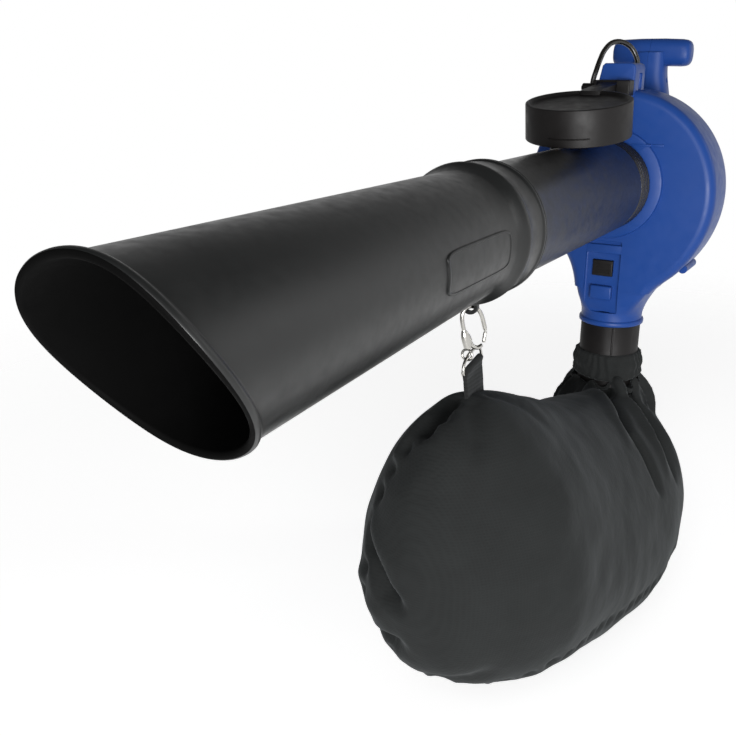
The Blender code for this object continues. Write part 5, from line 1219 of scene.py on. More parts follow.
@dataclass
class InletCover:
    """The inlet's cup-shaped cover, folded up over the tube, and the bracket that carries its hinge."""

    radius: float = 0.0650
    height: float = 0.0440
    wall: float = 0.0024
    tilt: float = 9.0
    y: float = -0.0950
    tube_radius: float = 0.0625
    hinge: tuple[float, float] = (0.0357, 0.1283)
    pin_radius: float = 0.0028
    pin_play: float = 0.0005
    knuckle_radius: float = 0.0072
    knuckle: tuple[float, float] = (-0.0185, 0.0085)
    bracket_x: tuple[float, float] = (-0.024, 0.0262)
    bracket_front: float = 0.0262
    bracket_z: tuple[float, float] = (0.1185, 0.1385)
    ear_x: float = -0.0400
    tab_height: float = 0.0110
    tab_turn: float = 9.0

    def seat_frame(self) -> Matrix:
        """Gives the matrix that takes the cup from its own frame to its place."""
        tilt = math.radians(self.tilt)
        z = self.tube_radius + self.height * math.cos(tilt) + self.radius * math.sin(tilt) + GAP + 0.0006
        return Matrix.Translation((0.0, self.y, z)) @ Matrix.Rotation(tilt, 4, "X")

    def cup(self) -> Shape:
        """Spins the cup with its raised rim and adds hinge arm, knuckle and finger tab."""
        r, low = self.radius, -self.height
        profile = [(0.0, -0.0046), (r - 0.0110, -0.0046), (r - 0.0070, -0.0040), (r - 0.0052, -0.0026),
                   (r - 0.0044, -0.0006), (r - 0.0036, 0.0), (r - 0.0014, 0.0), (r - 0.0003, -0.0006),
                   (r, -0.0018), (r, low + 0.0006), (r - 0.0006, low), (r - self.wall, low),
                   (r - self.wall, -0.0080), (r - self.wall - 0.0020, -0.0070), (0.0, -0.0070)]
        cup = spun(profile, Axis.Z, steps=160)
        turn = self.seat_frame()
        bmesh.ops.transform(cup, matrix=turn, verts=cup.verts)
        height = low + self.tab_height
        ledge = spun([(r - 0.0010, height - 0.0016), (r + 0.0012, height - 0.0013),
                      (r + 0.0016, height - 0.0007), (r + 0.0016, height - 0.0002),
                      (r + 0.0010, height + 0.0002), (r - 0.0010, height + 0.0002)], Axis.Z, steps=160)
        window = slab((-0.0245, -r - 0.01, low), (0.0245, -r + 0.02, 0.0), 0.0)
        bmesh.ops.rotate(window, verts=window.verts, cent=(0, 0, 0),
                         matrix=Matrix.Rotation(math.radians(self.tab_turn), 3, "Z"))
        tab = joined(ledge, [(Join.KEEP, window)])
        bmesh.ops.transform(tab, matrix=turn, verts=tab.verts)
        tilt = math.radians(self.tilt)
        centre = turn.translation
        rim_y, rim_z = self.y + (r - 0.010) * math.cos(tilt), centre.z + (r - 0.010) * math.sin(tilt)
        hinge_y, hinge_z = self.hinge
        arm = [(rim_y, rim_z - 0.0045), (self.y + r * math.cos(tilt) + 0.001, rim_z - 0.009),
               (hinge_y - 0.0040, hinge_z - self.knuckle_radius + 0.0014),
               (hinge_y - 0.0040, hinge_z + self.knuckle_radius - 0.0014),
               (self.y + r + 0.004, rim_z + 0.0030), (rim_y, rim_z + 0.0008)]
        low_x, high_x = self.knuckle
        strap = extruded(arm, Axis.X, low_x + 0.0001, high_x - 0.0001, 0.0008, 2)
        pin = (0, hinge_y, hinge_z)
        roll = rod(self.knuckle_radius, low_x, high_x, Axis.X, pin, 48)
        hole = rod(self.pin_radius + self.pin_play, low_x - 0.01, high_x + 0.01, Axis.X, pin, 32)
        return joined(cup, [(Join.ADD, tab), (Join.ADD, strap), (Join.ADD, roll), (Join.CUT, hole)])

    def bracket(self) -> Shape:
        """Makes the bracket on the block: a rounded bar with its slot, ear and pin hole."""
        hinge_y, hinge_z = self.hinge
        low, high = self.bracket_x
        back = 0.050 - 0.0006 - GAP
        bar = slab((low, self.bracket_front, self.bracket_z[0]), (high, back, self.bracket_z[1]), 0.0016, 3)
        ear = spun([(0.0, self.ear_x), (0.0052, self.ear_x), (0.0060, self.ear_x + 0.0008),
                    (0.0060, low + 0.002), (0.0, low + 0.002)], Axis.X, (0, hinge_y - 0.0006, hinge_z), 40)
        clear = self.knuckle_radius + 0.0012
        slot = slab((self.knuckle[0] - 0.0005, self.bracket_front - 0.02, self.bracket_z[0] - 0.01),
                    (self.knuckle[1] + 0.0005, hinge_y + clear, self.bracket_z[1] + 0.01))
        hole = rod(self.pin_radius + GAP, self.ear_x - 0.01, high - 0.004, Axis.X, (0, hinge_y, hinge_z), 32)
        return joined(bar, [(Join.ADD, ear), (Join.CUT, slot), (Join.CUT, hole)])

    def build(self) -> Pieces:
        """Builds the cup and its bracket."""
        cup = as_piece("cover_cup", self.cup(), Seat("cover", "cover_plastic", ["inlet_cover"]), 38, 0.0003)
        place = Seat("machine", "cover_plastic", ["hinge_bracket"])
        return [cup, as_piece("cover_bracket", self.bracket(), place, edge=0.0004)]


@dataclass
class MainsLead:
    """The mains lead: strain relief, free loop over the block, turns round the tube's neck, and the plug."""

    radius: float = 0.0035
    exit_x: float = 0.010
    exit_y: float = 0.1115
    relief_length: float = 0.026
    relief_radius: float = 0.0070
    top_radius: float = 0.1274
    neck_radius: float = 0.0555
    pitch: float = 0.0078
    turns: float = 4.70
    points_per_turn: int = 40
    tail: float = 0.026
    first_angle: float = 78.0
    plug_size: tuple[float, float, float] = (0.0165, 0.019, 0.036)
    plug_shift: float = 0.0062
    stated_length: float = 2.02

    def foot_z(self) -> float:
        """Gives the height of the housing's wall under the strain relief."""
        return math.sqrt(self.top_radius ** 2 - self.exit_x ** 2) + 0.0008

    def loop(self) -> list[Point]:
        """Gives the free loop's route, as the CAD's lead_loop has it."""
        z = self.foot_z() + self.relief_length + GAP
        return [(self.exit_x, self.exit_y, z), (self.exit_x, self.exit_y, z + 0.009)] + metres([
            (5, 110, 174.2), (-1.8, 105, 183), (-11.5, 95, 188), (-20.2, 83, 185.8), (-25.2, 70, 175.8),
            (-26.7, 58, 162.7), (-28, 50.2, 150), (-29.7, 46.3, 138.5), (-30.3, 45.5, 127),
            (-30, 44.7, 113), (-28.5, 40, 98.5), (-24, 30, 84), (-15, 18, 73.5), (-6.5, 7.8, 67.6)])

    def winding(self) -> list[Vector]:
        """Gives the turns round the neck and the straight tail to the plug."""
        radius = self.neck_radius + self.radius + 0.0003
        first, low = math.radians(self.first_angle), self.radius + 0.0006
        points = []
        angle = first
        for i in range(round(self.turns * self.points_per_turn) + 1):
            turn = i / self.points_per_turn
            angle = first - 2 * math.pi * turn
            points.append(Vector((radius * math.cos(angle), low + self.pitch * turn,
                                  radius * math.sin(angle))))
        run = Vector((math.sin(angle), 0, -math.cos(angle)))
        return points + [points[-1] + run * self.tail * share for share in (0.25, 0.5, 0.75, 1.0)]

    def line(self) -> list[Vector]:
        """Gives the lead's whole centreline."""
        turns = self.winding()
        along = (turns[0] - turns[1]).normalized()
        route = self.loop() + [turns[0] + along * 0.009 + Vector((0, 0, 0.0006))]
        return smooth_route(route + [turns[0]], 0.0045)[:-1] + turns

    def cord(self) -> bpy.types.Object:
        """Makes the lead as a curve of one open spline."""
        points = [p + MACHINE_OFFSET for p in self.line()]
        curve = bpy.data.curves.new("mains_lead", "CURVE")
        curve.dimensions = "3D"
        curve.bevel_depth = self.radius
        curve.bevel_resolution = 4
        curve.use_fill_caps = True
        spline = curve.splines.new("POLY")
        spline.points.add(len(points) - 1)
        for point, where in zip(spline.points, points):
            point.co = (*where, 1.0)
        spline.use_smooth = True
        curve.materials.append(MATERIALS["lead_sheath"])
        piece = placed("mains_lead", curve)
        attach(piece, "machine")
        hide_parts("lead_loop", "lead_winding")
        length = sum((b - a).length for a, b in zip(points, points[1:]))
        LOG.info("mains_lead: %.3f m along its centreline", length)
        return piece

    def relief(self) -> Shape:
        """Spins the tapered strain relief with its flex rings."""
        foot, length, thin = self.foot_z(), self.relief_length, self.radius
        outside = [(self.relief_radius + 0.001, foot), (self.relief_radius + 0.0008, foot + 0.0012),
                   (self.relief_radius, foot + 0.003)]
        rings = 5
        for i in range(rings):
            low = foot + 0.0045 + i * (length - 0.007) / rings
            wide = self.relief_radius - 0.0006 - (i + 0.5) / rings * (self.relief_radius - thin - 0.0018)
            outside += [(wide - 0.0009, low), (wide, low + 0.0008), (wide, low + 0.0022),
                        (wide - 0.0009, low + 0.0030)]
        profile = [(thin + GAP, foot - 0.0004), (self.relief_radius - 0.0017, foot - 0.0004),
                   (self.relief_radius - 0.0017, foot)]
        profile += outside + [(thin + 0.0010, foot + length), (0.0, foot + length),
                              (0.0, foot + length - 0.004), (thin + GAP, foot + length - 0.004)]
        return spun(profile, Axis.Z, (self.exit_x, self.exit_y, 0), 48)

    def plug(self) -> Shape:
        """Lofts the plug's body from its cord guard to its flat face."""
        turns = self.winding()
        run = (turns[-1] - turns[-2]).normalized()
        base = turns[-1] + run * GAP
        side = run.cross(Vector((0, 1, 0))).normalized()
        out = -side if side.x > 0 else side
        deep, wide, length = self.plug_size
        rows = [(0.0, 0.24), (0.0022, 0.26), (0.0024, 0.29), (0.0042, 0.31), (0.0044, 0.30),
                (0.0066, 0.33), (0.0085, 0.45), (0.0110, 0.66), (0.0135, 0.86), (0.0160, 0.97),
                (0.0190, 1.0), (length - 0.0012, 1.0), (length, 0.95)]
        rings = []
        for along, size in rows:
            share = max(0.0, (size - 0.3) / 0.7)
            outward = deep / 2 - self.radius + 0.0020
            centre = base + run * along + out * share * outward - Vector((0, share * self.plug_shift, 0))
            rings.append([centre + out * a + Vector((0, b, 0))
                          for a, b in oval(deep / 2 * size, wide / 2 * size, 3.0, 48)])
        return lofted(rings)

    def build(self) -> Pieces:
        cord = self.cord()
        relief = as_piece("flex_relief", self.relief(), Seat("machine", "lead_sheath", ["strain_relief"]),
                          sharp=50)
        plug = as_piece("plug_shell", self.plug(), Seat("machine", "lead_sheath", ["plug_body"]), sharp=50)
        return [cord, relief, plug]


@dataclass
class BagHanger:
    """Snap hook with gate and swivel eye, the D-ring and the webbing strap that hang the bag."""

    lug_y: float = -0.390
    plane: tuple[float, float] = (0.6, 0.8)
    wire: float = 0.0023
    ring_wire: float = 0.0017
    bar_y: float = -0.379
    bar_z: float = -0.145
    ring_half: float = 0.0225
    ring_rise: float = 0.0170
    lean: float = 13.0
    strap_width: float = 0.040
    strap_thickness: float = 0.0044
    strap_length: float = 0.047
    eye_radius: float = 0.0058
    eye_z: float = -0.1302
    eye_wire: float = 0.0014
    stem_radius: float = 0.0015
    swivel_bore: float = 0.0019

    def at(self, along: float, z: float) -> Vector:
        """Gives a point of the hook's plane."""
        return Vector((self.plane[0] * along, self.lug_y + self.plane[1] * along, z))

    def lean_matrix(self) -> Matrix:
        """Gives the lean of ring and strap about the ring's bar."""
        bar = Vector((0.0, self.bar_y, self.bar_z))
        lean = Matrix.Rotation(math.radians(self.lean), 4, "X")
        return Matrix.Translation(bar) @ lean @ Matrix.Translation(-bar)

    def hook(self) -> Shape:
        """Sweeps the hook's bow and adds its swivel barrel."""
        outline = metres([(15.8, -121.2), (11, -123.6), (5, -121.5), (0.5, -115), (-4.5, -108),
                          (-7.2, -100), (-9, -91), (-8.5, -83.8), (-5, -78.9), (0, -77.7), (5, -78.8),
                          (10, -82.8), (14, -89.5), (16.8, -98), (19, -105.5)])
        line = smooth_route([self.at(*p) for p in outline], 0.0012)
        bow = swept(line, [self.wire * (0.82 if i < 2 or i > len(line) - 3 else 1.0)
                           for i in range(len(line))], 20)
        across = Vector((self.plane[1], -self.plane[0], 0))
        along = Vector((self.plane[0], self.plane[1], 0))
        rows = metres([(-6.2, -102.5, 2, 2), (-5.8, -104, 3.2, 2.7), (-4.5, -107.5, 4.8, 3.3),
                       (-3.5, -110.8, 5.6, 3.7), (-2.6, -114, 5.8, 3.8), (-2, -117.2, 5.4, 3.8),
                       (-1.7, -120, 4.6, 3.7), (-1.5, -122.2, 4.2, 3.7), (-1.5, -123.2, 3.6, 3.3)])
        rings = []
        for a, z, wide, thick in rows:
            rings.append([self.at(a, z) + along * p + across * q for p, q in oval(wide, thick, 2.2, 40)])
        eye = self.at(-0.0015, 0.0)
        bore = rod(self.swivel_bore, -0.140, -0.115, Axis.Z, (eye.x, eye.y, 0), 24)
        return joined(bow, [(Join.ADD, lofted(rings)), (Join.CUT, bore)])

    def swivel(self) -> Shape:
        """Sweeps the swivel's eye and adds its stem."""
        centre = self.at(-0.0015, self.eye_z)
        line = [centre + Vector((self.eye_radius * math.sin(a), 0, self.eye_radius * math.cos(a)))
                for a in angles(48)]
        eye = swept(line, [self.eye_wire] * 48, 16, closed=True)
        stem = rod(self.stem_radius, centre.z + self.eye_radius, -0.1155, Axis.Z, (centre.x, centre.y, 0), 24)
        return joined(eye, [(Join.ADD, stem)])

    def gate(self) -> Shape:
        """Sweeps the spring gate's pin, thinner towards both ends."""
        foot, tip = self.at(0.0174, -0.1186), self.at(0.0192, -0.1066)
        line = [foot.lerp(tip, i / 8) for i in range(9)]
        radii = [(self.wire - 0.0003) * s for s in (0.8, 0.97, 1.0, 1.0, 1.0, 1.0, 1.0, 0.95, 0.75)]
        return swept(line, radii, 20)

    def ring(self) -> Shape:
        """Sweeps the D-ring with rounded corners at its bar."""
        bow = []
        for i in range(41):
            angle = math.pi * i / 40
            bow.append(Vector((0.0, self.bar_y + self.ring_half * math.cos(angle),
                               self.bar_z + self.ring_rise * math.sin(angle) ** 0.7)))
        bar = [Vector((0.0, self.bar_y + self.ring_half * (-1 + 2 * i / 12), self.bar_z))
               for i in range(1, 12)]
        line = [self.lean_matrix() @ p for p in bow + bar]
        return swept(line, [self.ring_wire] * len(line), 16, closed=True)

    def strap(self) -> Shape:
        """Folds the webbing over the ring's bar, with both layers stitched together below it."""
        half, fold = self.strap_thickness / 2, self.ring_wire + GAP
        outer = fold + self.strap_thickness * 0.45
        turn = [math.pi * (1 - i / 20) for i in range(21)]
        outline = [(outer * math.cos(a), self.bar_z + outer * math.sin(a)) for a in turn]
        outline += [(half * 1.1, self.bar_z - 0.0050), (half, self.bar_z - 0.0085),
                    (half * 0.86, self.bar_z - 0.0100), (half, self.bar_z - 0.0115),
                    (half, self.bar_z - 0.0270), (half * 0.86, self.bar_z - 0.0285),
                    (half, self.bar_z - 0.0300), (half, self.bar_z - self.strap_length)]
        outline += [(-a, b) for a, b in reversed(outline[21:])]
        wide = self.strap_width / 2
        band = extruded(outline, Axis.Y, self.bar_y - wide, self.bar_y + wide, 0.0005, 2)
        bore = rod(fold, self.bar_y - 0.05, self.bar_y + 0.05, Axis.Y, (0, 0, self.bar_z), 32)
        strap = joined(band, [(Join.CUT, bore)])
        slice_across(strap, (0, 1, 0), self.bar_y - wide, self.strap_width, 24)
        bmesh.ops.transform(strap, matrix=self.lean_matrix(), verts=strap.verts)
        return strap

    def build(self) -> Pieces:
        """Builds hook, eye, gate, ring and strap."""
        return [as_piece("hook_bow", self.hook(), Seat("hook", "nickel", ["snap_hook_body"])),
                as_piece("hook_eye", self.swivel(), Seat("swivel", "nickel", ["hook_swivel"])),
                as_piece("hook_latch", self.gate(), Seat("gate", "nickel", ["hook_gate"])),
                as_piece("strap_ring", self.ring(), Seat("ring", "nickel", ["d_ring"])),
                as_piece("webbing_strap", self.strap(), Seat("machine", "webbing", ["bag_strap"]), sharp=50)]


@dataclass
class Fold:
    """A crease of the bag, given in millimetres and kept in metres.

    It has a line of points, a half width, and a depth, which is negative where the cloth stands out. A wave
    above zero is the distance between the puckers along a sewn seam. Spans farther than near are passed over.
    """

    line: Sequence[Point]
    width: float
    depth: float
    wave: float = 0.0
    near: float = 45.0

    def __post_init__(self) -> None:
        """Turns the millimetres to metres."""
        self.line = metres(self.line)
        sizes = (self.width, self.depth, self.wave, self.near)
        self.width, self.depth, self.wave, self.near = metres([sizes])[0]

    def reach(self, point: Vector, normal: Vector) -> float:
        """Gives how deep this crease draws the cloth in at a point.

        Args:
            point: A point of the cloth.
            normal: Its outward direction.

        Returns:
            The depth in metres.
        """
        best, share, along = 1.0, 0.0, 0.0
        spans = len(self.line) - 1
        passed = 0.0
        for i, (a, b) in enumerate(zip(self.line, self.line[1:])):
            start, run = Vector(a), Vector(b) - Vector(a)
            t = max(0.0, min(1.0, (point - start).dot(run) / run.length_squared))
            away = point - start - run * t
            if away.length < self.near:
                level = (away - normal * away.dot(normal)).length
                if level < best:
                    best, share, along = level, (i + t) / spans, passed + t * run.length
            passed += run.length
        if best > self.width * 3:
            return 0.0
        depth = self.depth * math.exp(-(best / self.width) ** 2)
        if self.wave:
            return depth * (1.0 + 1.3 * math.sin(2 * math.pi * along / self.wave
                                                 + 1.5 * math.sin(along * 23)))
        return depth * min(1.0, (1 - share) * 2.5)


@dataclass
class CollectingBag:
    """The filled fabric bag: a sagging shell with gathers below its elastic cuff."""

    x: float = 0.0104
    y: float = 0.0935
    sleeve_radius: float = 0.0433
    cuff_top: float = -0.250
    cuff_bottom: float = -0.287
    cuff_thickness: float = 0.0080
    sag: float = 0.23
    pocket_floor: float = -0.303
    pocket_radius: float = 0.0448
    voxel: float = 0.0038
    stations: list[tuple[float, ...]] = field(default_factory=lambda: metres([
        (-508.5, -352, -360, 3, 0), (-506.5, -325, -386, 18, 0), (-502, -300, -412, 34, 0),
        (-488, -243, -456, 60, 0), (-455, -197, -492, 90, 0), (-415, -182, -514, 116, 3),
        (-375, -176.6, -530, 130, 5), (-320, -193, -549, 135, 5), (-260, -217, -570, 138, 5),
        (-160, -256, -599, 144, 8), (-50, -286, -612, 144, 13), (40, -303, -598, 136, 17),
        (95, -310, -576, 123, 17), (138, -322, -547, 102, 14), (167, -350, -513, 72, 8),
        (182, -392, -477, 38, 4), (186.5, -414, -456, 18, 3), (188, -431, -439, 3, 3)]))
    folds: list[Fold] = field(default_factory=lambda: [
        Fold([(18, 42, -288), (46, 12, -303), (87, -35, -324), (122, -46, -365),
              (140, -51, -410)], 8.5, 29),
        Fold([(10, 40, -290), (30, 0, -300), (60, -55, -310), (98, -85, -345)], 10, -8.5),
        Fold([(40, 52, -288), (72, 36, -310), (112, 12, -345), (138, 0, -405)], 9, -11),
        Fold([(50, 66, -290), (88, 56, -325), (124, 40, -372), (140, 35, -430)], 8, 25),
        Fold([(60, 82, -290), (98, 78, -330), (126, 68, -380), (136, 65, -440)], 9, -8),
        Fold([(64, 91, -293), (114, 92, -379), (134, 86, -436)], 8, 15),
        Fold([(16, -360, -183), (34, -335, -210), (60, -310, -260)], 13, 5),
        Fold([(10, -400, -181), (30, -430, -198), (40, -455, -228)], 10, 6),
        Fold([(-14, -400, -184), (-20, -432, -198), (-14, -456, -216)], 10, 17),
        Fold([(-34, -420, -196), (-48, -450, -226), (-44, -470, -256)], 11, -6),
        Fold([(-77, -467, -330), (-60, -485, -343), (-36, -500, -368), (-4, -504, -384)], 10, 33),
        Fold([(-66, -470, -300), (-40, -492, -324), (0, -500, -345)], 11, -4),
        Fold([(-82, -452, -385), (-56, -480, -402), (-24, -494, -404)], 10, -3),
        Fold([(-70, -440, -440), (-40, -470, -440), (-6, -484, -424)], 10, 17),
        Fold([(10, -462, -478), (40, -452, -462), (64, -440, -440)], 12, 6),
        Fold([(-10, 45, -288), (-40, 10, -305), (-85, -20, -335), (-112, -30, -385)], 11, 13),
        Fold([(-30, 75, -290), (-72, 60, -325), (-100, 45, -380)], 10, 10),
        Fold([(0, 150, -330), (4, 166, -380), (6, 172, -430)], 11, 9),
        Fold([(45, 140, -320), (58, 150, -370), (58, 150, -420)], 10, 8),
        Fold([(-2, -424, -188), (-45, -462, -225), (-72, -472, -290), (-78, -470, -350),
              (-66, -464, -420), (-20, -452, -482), (50, -425, -500), (112, -380, -478),
              (136, -300, -480), (143, -215, -501), (152, -100, -518), (148, 0, -518), (132, 80, -500),
              (100, 130, -478), (50, 165, -462), (0, 174, -455)], 8.5, 3, 29),
        Fold([(-66, -464, -420), (-112, -380, -470), (-130, -300, -480), (-136, -215, -501),
              (-134, -100, -518), (-124, 0, -518), (-104, 80, -500), (-60, 140, -478),
              (0, 174, -455)], 8.5, 3, 29)])

    def ring(self, row: Sequence[float], power: float = 2.3, count: int = 120) -> Ring:
        """Gives an upright section of the bag, narrower at the top, where it hangs."""
        y, top, bottom, half_width, shift = row
        middle, half_height = (top + bottom) / 2, (top - bottom) / 2
        points = []
        for a, height in oval(half_width, 1.0, power, count):
            narrow = 1 - self.sag * height * (1 + height / 2)
            points.append(Vector((shift + a * narrow, y, middle + half_height * height)))
        return points

    def gathered_neck(self) -> Shape:
        """Lofts the cloth that spreads from the cuff into the bag, in irregular pleats."""
        rows = [(self.cuff_bottom - GAP, 0.0072, 0.0018)]
        rows += metres([(-292, 8.8, 3.8), (-300, 13.5, 6.8), (-312, 20, 8.5), (-328, 26.5, 8.5),
                        (-350, 31, 7), (-380, 25, 0)])
        rings = []
        for z, grow, pleat in rows:
            ring = []
            for angle in angles(240):
                wave = math.cos(11 * angle + 1.6 * math.sin(2 * angle) + 0.9 * math.sin(3 * angle + 1))
                radius = self.sleeve_radius + grow + pleat * wave
                ring.append(Vector((self.x + radius * math.cos(angle), self.y + radius * math.sin(angle), z)))
            rings.append(ring)
        return lofted(rings)

    def body(self) -> Shape:
        """Lofts the bag, joins its gathered neck, and lays in folds, seam puckers and slack."""
        pocket = rod(self.pocket_radius, self.pocket_floor, -0.2, Axis.Z, (self.x, self.y, 0), 96)
        shape = joined(lofted([self.ring(row) for row in curve_through(self.stations, 4)]),
                       [(Join.ADD, self.gathered_neck()), (Join.CUT, pocket)])
        work = temporary(shape)
        remesh = work.modifiers.new("remesh", "REMESH")
        remesh.mode = "VOXEL"
        remesh.voxel_size = self.voxel
        shape = evaluated(work)
        smooth(shape, 3, 0.5)
        bmesh.ops.recalc_face_normals(shape, faces=shape.faces)
        shape.normal_update()
        moves = []
        for vertex in shape.verts:
            p = vertex.co
            near = math.hypot(p.x - self.x, p.y - self.y)
            free = max(0.0, min(1.0, (-0.292 - p.z) / 0.03)) if near < 0.075 else 1.0
            slack = noise.noise(p * 11.0) * 0.0030 + noise.noise(p * 26.0 + Vector((3, 1, 7))) * 0.0016
            slack += noise.noise(Vector((p.x * 60, p.y * 22, p.z * 22))) * 0.0007
            drawn_in = sum(fold.reach(p, vertex.normal) for fold in self.folds)
            moves.append(vertex.normal * (slack * free - drawn_in))
        for vertex, move in zip(shape.verts, moves):
            vertex.co += move
        smooth(shape, 2, 0.4)
        return shape

    def cuff(self) -> Shape:
        """Spins the elastic cuff and gathers it into small pleats between its two bands."""
        inner, top, bottom, thick = self.sleeve_radius, self.cuff_top, self.cuff_bottom, self.cuff_thickness
        rows = [(0.0, bottom), (0.80, bottom), (0.98, bottom + 0.003), (0.92, bottom + 0.006),
                (0.78, bottom + 0.009), (0.80, bottom + 0.012), (0.95, bottom + 0.015),
                (1.0, bottom + 0.019), (0.93, bottom + 0.023), (0.72, bottom + 0.027),
                (0.60, bottom + 0.030), (0.62, bottom + 0.033), (0.45, top - 0.0015), (0.25, top), (0.0, top)]
        shape = spun([(inner + thick * grow, z) for grow, z in rows], Axis.Z, (self.x, self.y, 0), 240)
        for vertex in shape.verts:
            out = Vector((vertex.co.x - self.x, vertex.co.y - self.y, 0))
            radius = out.length
            grown = radius - inner
            if grown < 0.0006:
                continue
            angle = math.atan2(out.y, out.x)
            share = min(1.0, grown / (thick * 0.5))
            wave = math.cos(27 * angle + 2.6 * math.sin(3 * angle)
                            + 1.1 * math.sin(5 * angle + vertex.co.z * 140))
            wave *= 0.6 + 0.4 * math.sin(4 * angle + 1)
            vertex.co += out.normalized() * (wave * share * 0.0014 - 0.0006)
            calm = 1 if vertex.co.z < top - 0.004 else 0.4
            vertex.co.z += share * 0.0020 * math.sin(2 * angle + 0.6) * calm
        return shape

    def build(self) -> Pieces:
        body = as_piece("bag_shell", self.body(), Seat("machine", "bag_fabric", ["bag_body"]), sharp=180)
        cuff = as_piece("elastic_cuff", self.cuff(), Seat("machine", "bag_fabric", ["bag_cuff"]), sharp=180)
        return [body, cuff]


@dataclass
class CarriedNodes:
    """The CAD nodes that stay as they are and only get their finish."""

    def build(self) -> None:
        """Gives every visible CAD node the material of its slot."""
        slots = {part["node"]: part["material_slot"] for part in frame["record"]["subparts"]}
        count = 0
        for name, obj in frame["nodes"].items():
            if name in slots:
                for slot in obj.material_slots:
                    slot.material = MATERIALS[slots[name]]
                count += 1
        LOG.info("carried nodes: %d got their finish", count)


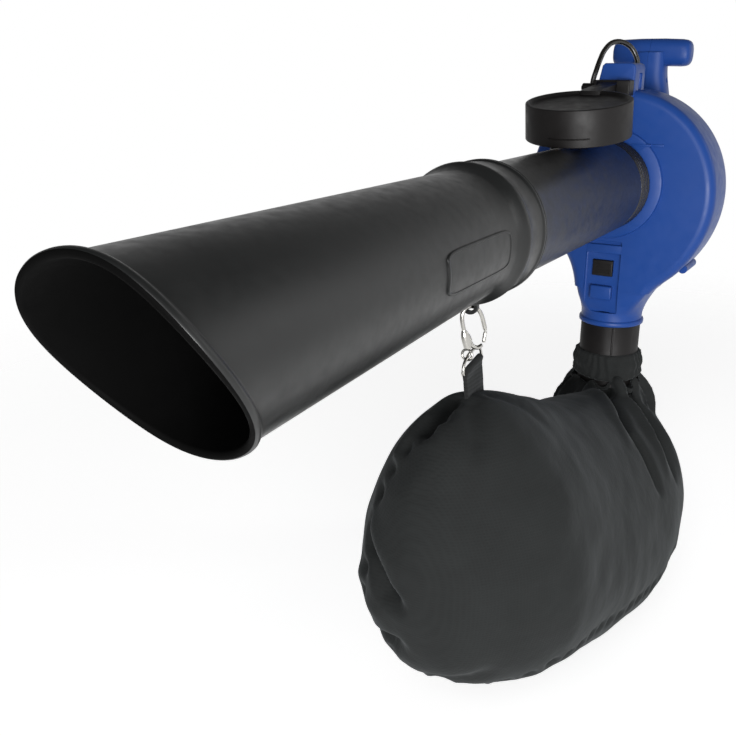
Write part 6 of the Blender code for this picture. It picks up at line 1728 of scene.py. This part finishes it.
@dataclass
class Studio:
    """Pale floor and backdrop, soft lamps and the camera at the photograph's viewing angle.

    A fade names where a darkening of the room starts, where it ends, and the share of light left there.
    """

    eye: tuple[float, float, float] = (0.3790, -1.4407, -0.0134)
    look: tuple[float, float, float] = (-0.4928, 0.8083, -0.3221)
    lens: float = 44.02
    floor_z: float = -0.789
    ceiling_fade: tuple[float, float, float] = (0.0, 0.75, 0.12)
    dark_side: tuple[float, float, float] = (-0.74, -0.62, 0.25)
    side_fade: tuple[float, float, float] = (-0.1, 0.8, 0.2)
    dark_end: tuple[float, float, float] = (-0.05, 0.98, 0.18)
    end_fade: tuple[float, float, float] = (0.0, 0.7, 0.8)
    fill: float = 0.16
    floor_size: float = 14.0
    floor_paper: tuple[str, str] = ("#F4F4F4", "#F8F8F8")
    floor_glow: float = 0.70
    floor_middle: tuple[float, float, float] = (0.0, 0.2, 0.0)
    floor_full: float = 0.9
    floor_gone: float = 2.3

    def camera(self) -> bpy.types.Object:
        """Places the camera."""
        data = bpy.data.cameras.new("photo_camera")
        data.lens = self.lens
        data.sensor_width = 36.0
        data.sensor_height = 36.0
        data.sensor_fit = "HORIZONTAL"
        data.clip_start = 0.05
        data.clip_end = 60.0
        camera = placed("photo_camera", data)
        camera.location = self.eye
        camera.rotation_euler = Vector(self.look).to_track_quat("-Z", "Y").to_euler()
        bpy.context.scene.camera = camera
        return camera

    def floor(self) -> bpy.types.Object:
        """Lays the pale floor, which keeps the machine's shadow, glows a little and fades out far away."""
        shape = bmesh.new()
        bmesh.ops.create_grid(shape, x_segments=4, y_segments=4, size=self.floor_size)
        bmesh.ops.translate(shape, verts=shape.verts, vec=(0, 0, self.floor_z))
        mesh = bpy.data.meshes.new("pale_floor")
        shape.to_mesh(mesh)
        shape.free()
        floor = placed("pale_floor", mesh)
        material, tree, shader = new_material("white_paper")
        node = partial(add_node, tree)
        place = node("ShaderNodeTexCoord").outputs["Object"]
        cloud = node("ShaderNodeTexNoise", {"Scale": 2.0, "Detail": 2.0}, {"Vector": place})
        colour, tint = self.floor_paper
        mix = node("ShaderNodeMix", {6: linear(colour), 7: linear(tint)}, {0: cloud.outputs["Fac"]},
                   data_type="RGBA")
        tree.links.new(mix.outputs[2], shader.inputs["Base Color"])
        shader.inputs["Roughness"].default_value = 1.0
        shader.inputs["Specular IOR Level"].default_value = 0.0
        paths = node("ShaderNodeLightPath")
        camera, glossy = paths.outputs["Is Camera Ray"], paths.outputs["Is Glossy Ray"]
        seen = node("ShaderNodeMath", links={0: camera, 1: glossy}, operation="MAXIMUM")
        share = node("ShaderNodeMath", {1: self.floor_glow}, {0: seen.outputs[0]}, operation="MULTIPLY")
        glow = node("ShaderNodeEmission", {"Color": (1, 1, 1, 1)}, {"Strength": share.outputs[0]})
        both = node("ShaderNodeAddShader", links={0: shader.outputs[0], 1: glow.outputs[0]})
        reach = node("ShaderNodeVectorMath", {1: self.floor_middle}, {0: place}, operation="DISTANCE")
        fade = node("ShaderNodeMapRange", {"From Min": self.floor_full, "From Max": self.floor_gone},
                    {"Value": reach.outputs["Value"]}, interpolation_type="SMOOTHSTEP")
        clear = node("ShaderNodeBsdfTransparent")
        blend = node("ShaderNodeMixShader", links={0: fade.outputs["Result"], 1: both.outputs[0],
                                                   2: clear.outputs[0]})
        tree.links.new(blend.outputs[0], tree.nodes["Material Output"].inputs["Surface"])
        mesh.materials.append(material)
        return floor

    def lamp(self, name: str, place: Point, target: Point, size: float, power: float,
             tall: float | None = None) -> None:
        """Hangs one soft rectangular lamp.

        Args:
            name: The lamp's name.
            place: Where it hangs.
            target: What it points at.
            size: Its width.
            power: Its power in watts.
            tall: Its height, or its width again.
        """
        data = bpy.data.lights.new(name, "AREA")
        data.shape = "RECTANGLE"
        data.size = size
        data.size_y = tall or size
        data.energy = power
        lamp = placed(name, data)
        lamp.location = place
        lamp.rotation_euler = (Vector(target) - Vector(place)).to_track_quat("-Z", "Y").to_euler()

    def world(self) -> None:
        """Sets a white room.

        The camera sees it as white. Mirrors see it darken towards the ceiling, the left front and the far
        end, and it lights the machine only a little.
        """
        world = bpy.data.worlds.new("white_room")
        bpy.context.scene.world = world
        world.use_nodes = True
        tree = world.node_tree
        back = tree.nodes["Background"]
        back.inputs["Color"].default_value = (1, 1, 1, 1)
        node = partial(add_node, tree)
        paths = node("ShaderNodeLightPath")
        camera, clear, glossy = (paths.outputs[f"Is {kind} Ray"]
                                 for kind in ("Camera", "Transmission", "Glossy"))
        seen = node("ShaderNodeMath", links={0: camera, 1: clear}, operation="MAXIMUM")
        seen = node("ShaderNodeMath", links={0: seen.outputs[0], 1: glossy}, operation="MAXIMUM")
        heading = node("ShaderNodeTexCoord").outputs["Generated"]
        height = node("ShaderNodeSeparateXYZ", links={0: heading}).outputs["Z"]
        facing = node("ShaderNodeVectorMath", {1: self.dark_side}, {0: heading}, operation="DOT_PRODUCT")
        away = node("ShaderNodeVectorMath", {1: self.dark_end}, {0: heading}, operation="DOT_PRODUCT")
        shares = []
        fades = [(height, self.ceiling_fade), (facing.outputs["Value"], self.side_fade),
                 (away.outputs["Value"], self.end_fade)]
        for reading, (low, high, least) in fades:
            values = {"From Min": low, "From Max": high, "To Min": 1.0, "To Max": least}
            fade = node("ShaderNodeMapRange", values, {"Value": reading}, interpolation_type="SMOOTHSTEP")
            shares.append(fade.outputs["Result"])
        room = node("ShaderNodeMath", links={0: shares[0], 1: shares[1]}, operation="MULTIPLY")
        room = node("ShaderNodeMath", links={0: room.outputs[0], 1: shares[2]}, operation="MULTIPLY")
        mirrored = node("ShaderNodeMath", links={0: room.outputs[0], 1: camera}, operation="MAXIMUM")
        level = node("ShaderNodeMapRange", {"To Min": self.fill},
                     {"Value": seen.outputs[0], "To Max": mirrored.outputs[0]})
        tree.links.new(level.outputs["Result"], back.inputs["Strength"])

    def build(self) -> None:
        """Sets camera, floor, lamps and world."""
        self.camera()
        self.floor()
        self.world()
        self.lamp("low_softbox", (1.35, -2.6, -0.45), (0.0, -0.3, -0.2), 1.6, 57.0, 0.6)
        self.lamp("front_softbox", (0.7, -3.0, 1.1), (0.0, -0.2, -0.3), 1.2, 20.0)
        self.lamp("rear_strip", (2.3, 1.1, 0.9), (0.05, 0.0, 0.0), 0.25, 6.0, 1.6)
        scene = bpy.context.scene
        scene.view_settings.view_transform = "Standard"


def main() -> None:
    """Builds every sub-assembly in order and reports its pieces."""
    Studio().build()
    for part in (MainsLead, SuctionTube, Nozzle, VoluteHousing, RearHousing, OutletSleeve, InletCover,
                 BagHanger, CollectingBag, CarriedNodes):
        made = part().build() or []
        LOG.info("%s: %d pieces", part.__name__, len(made))


if __name__ == "__main__":
    main()
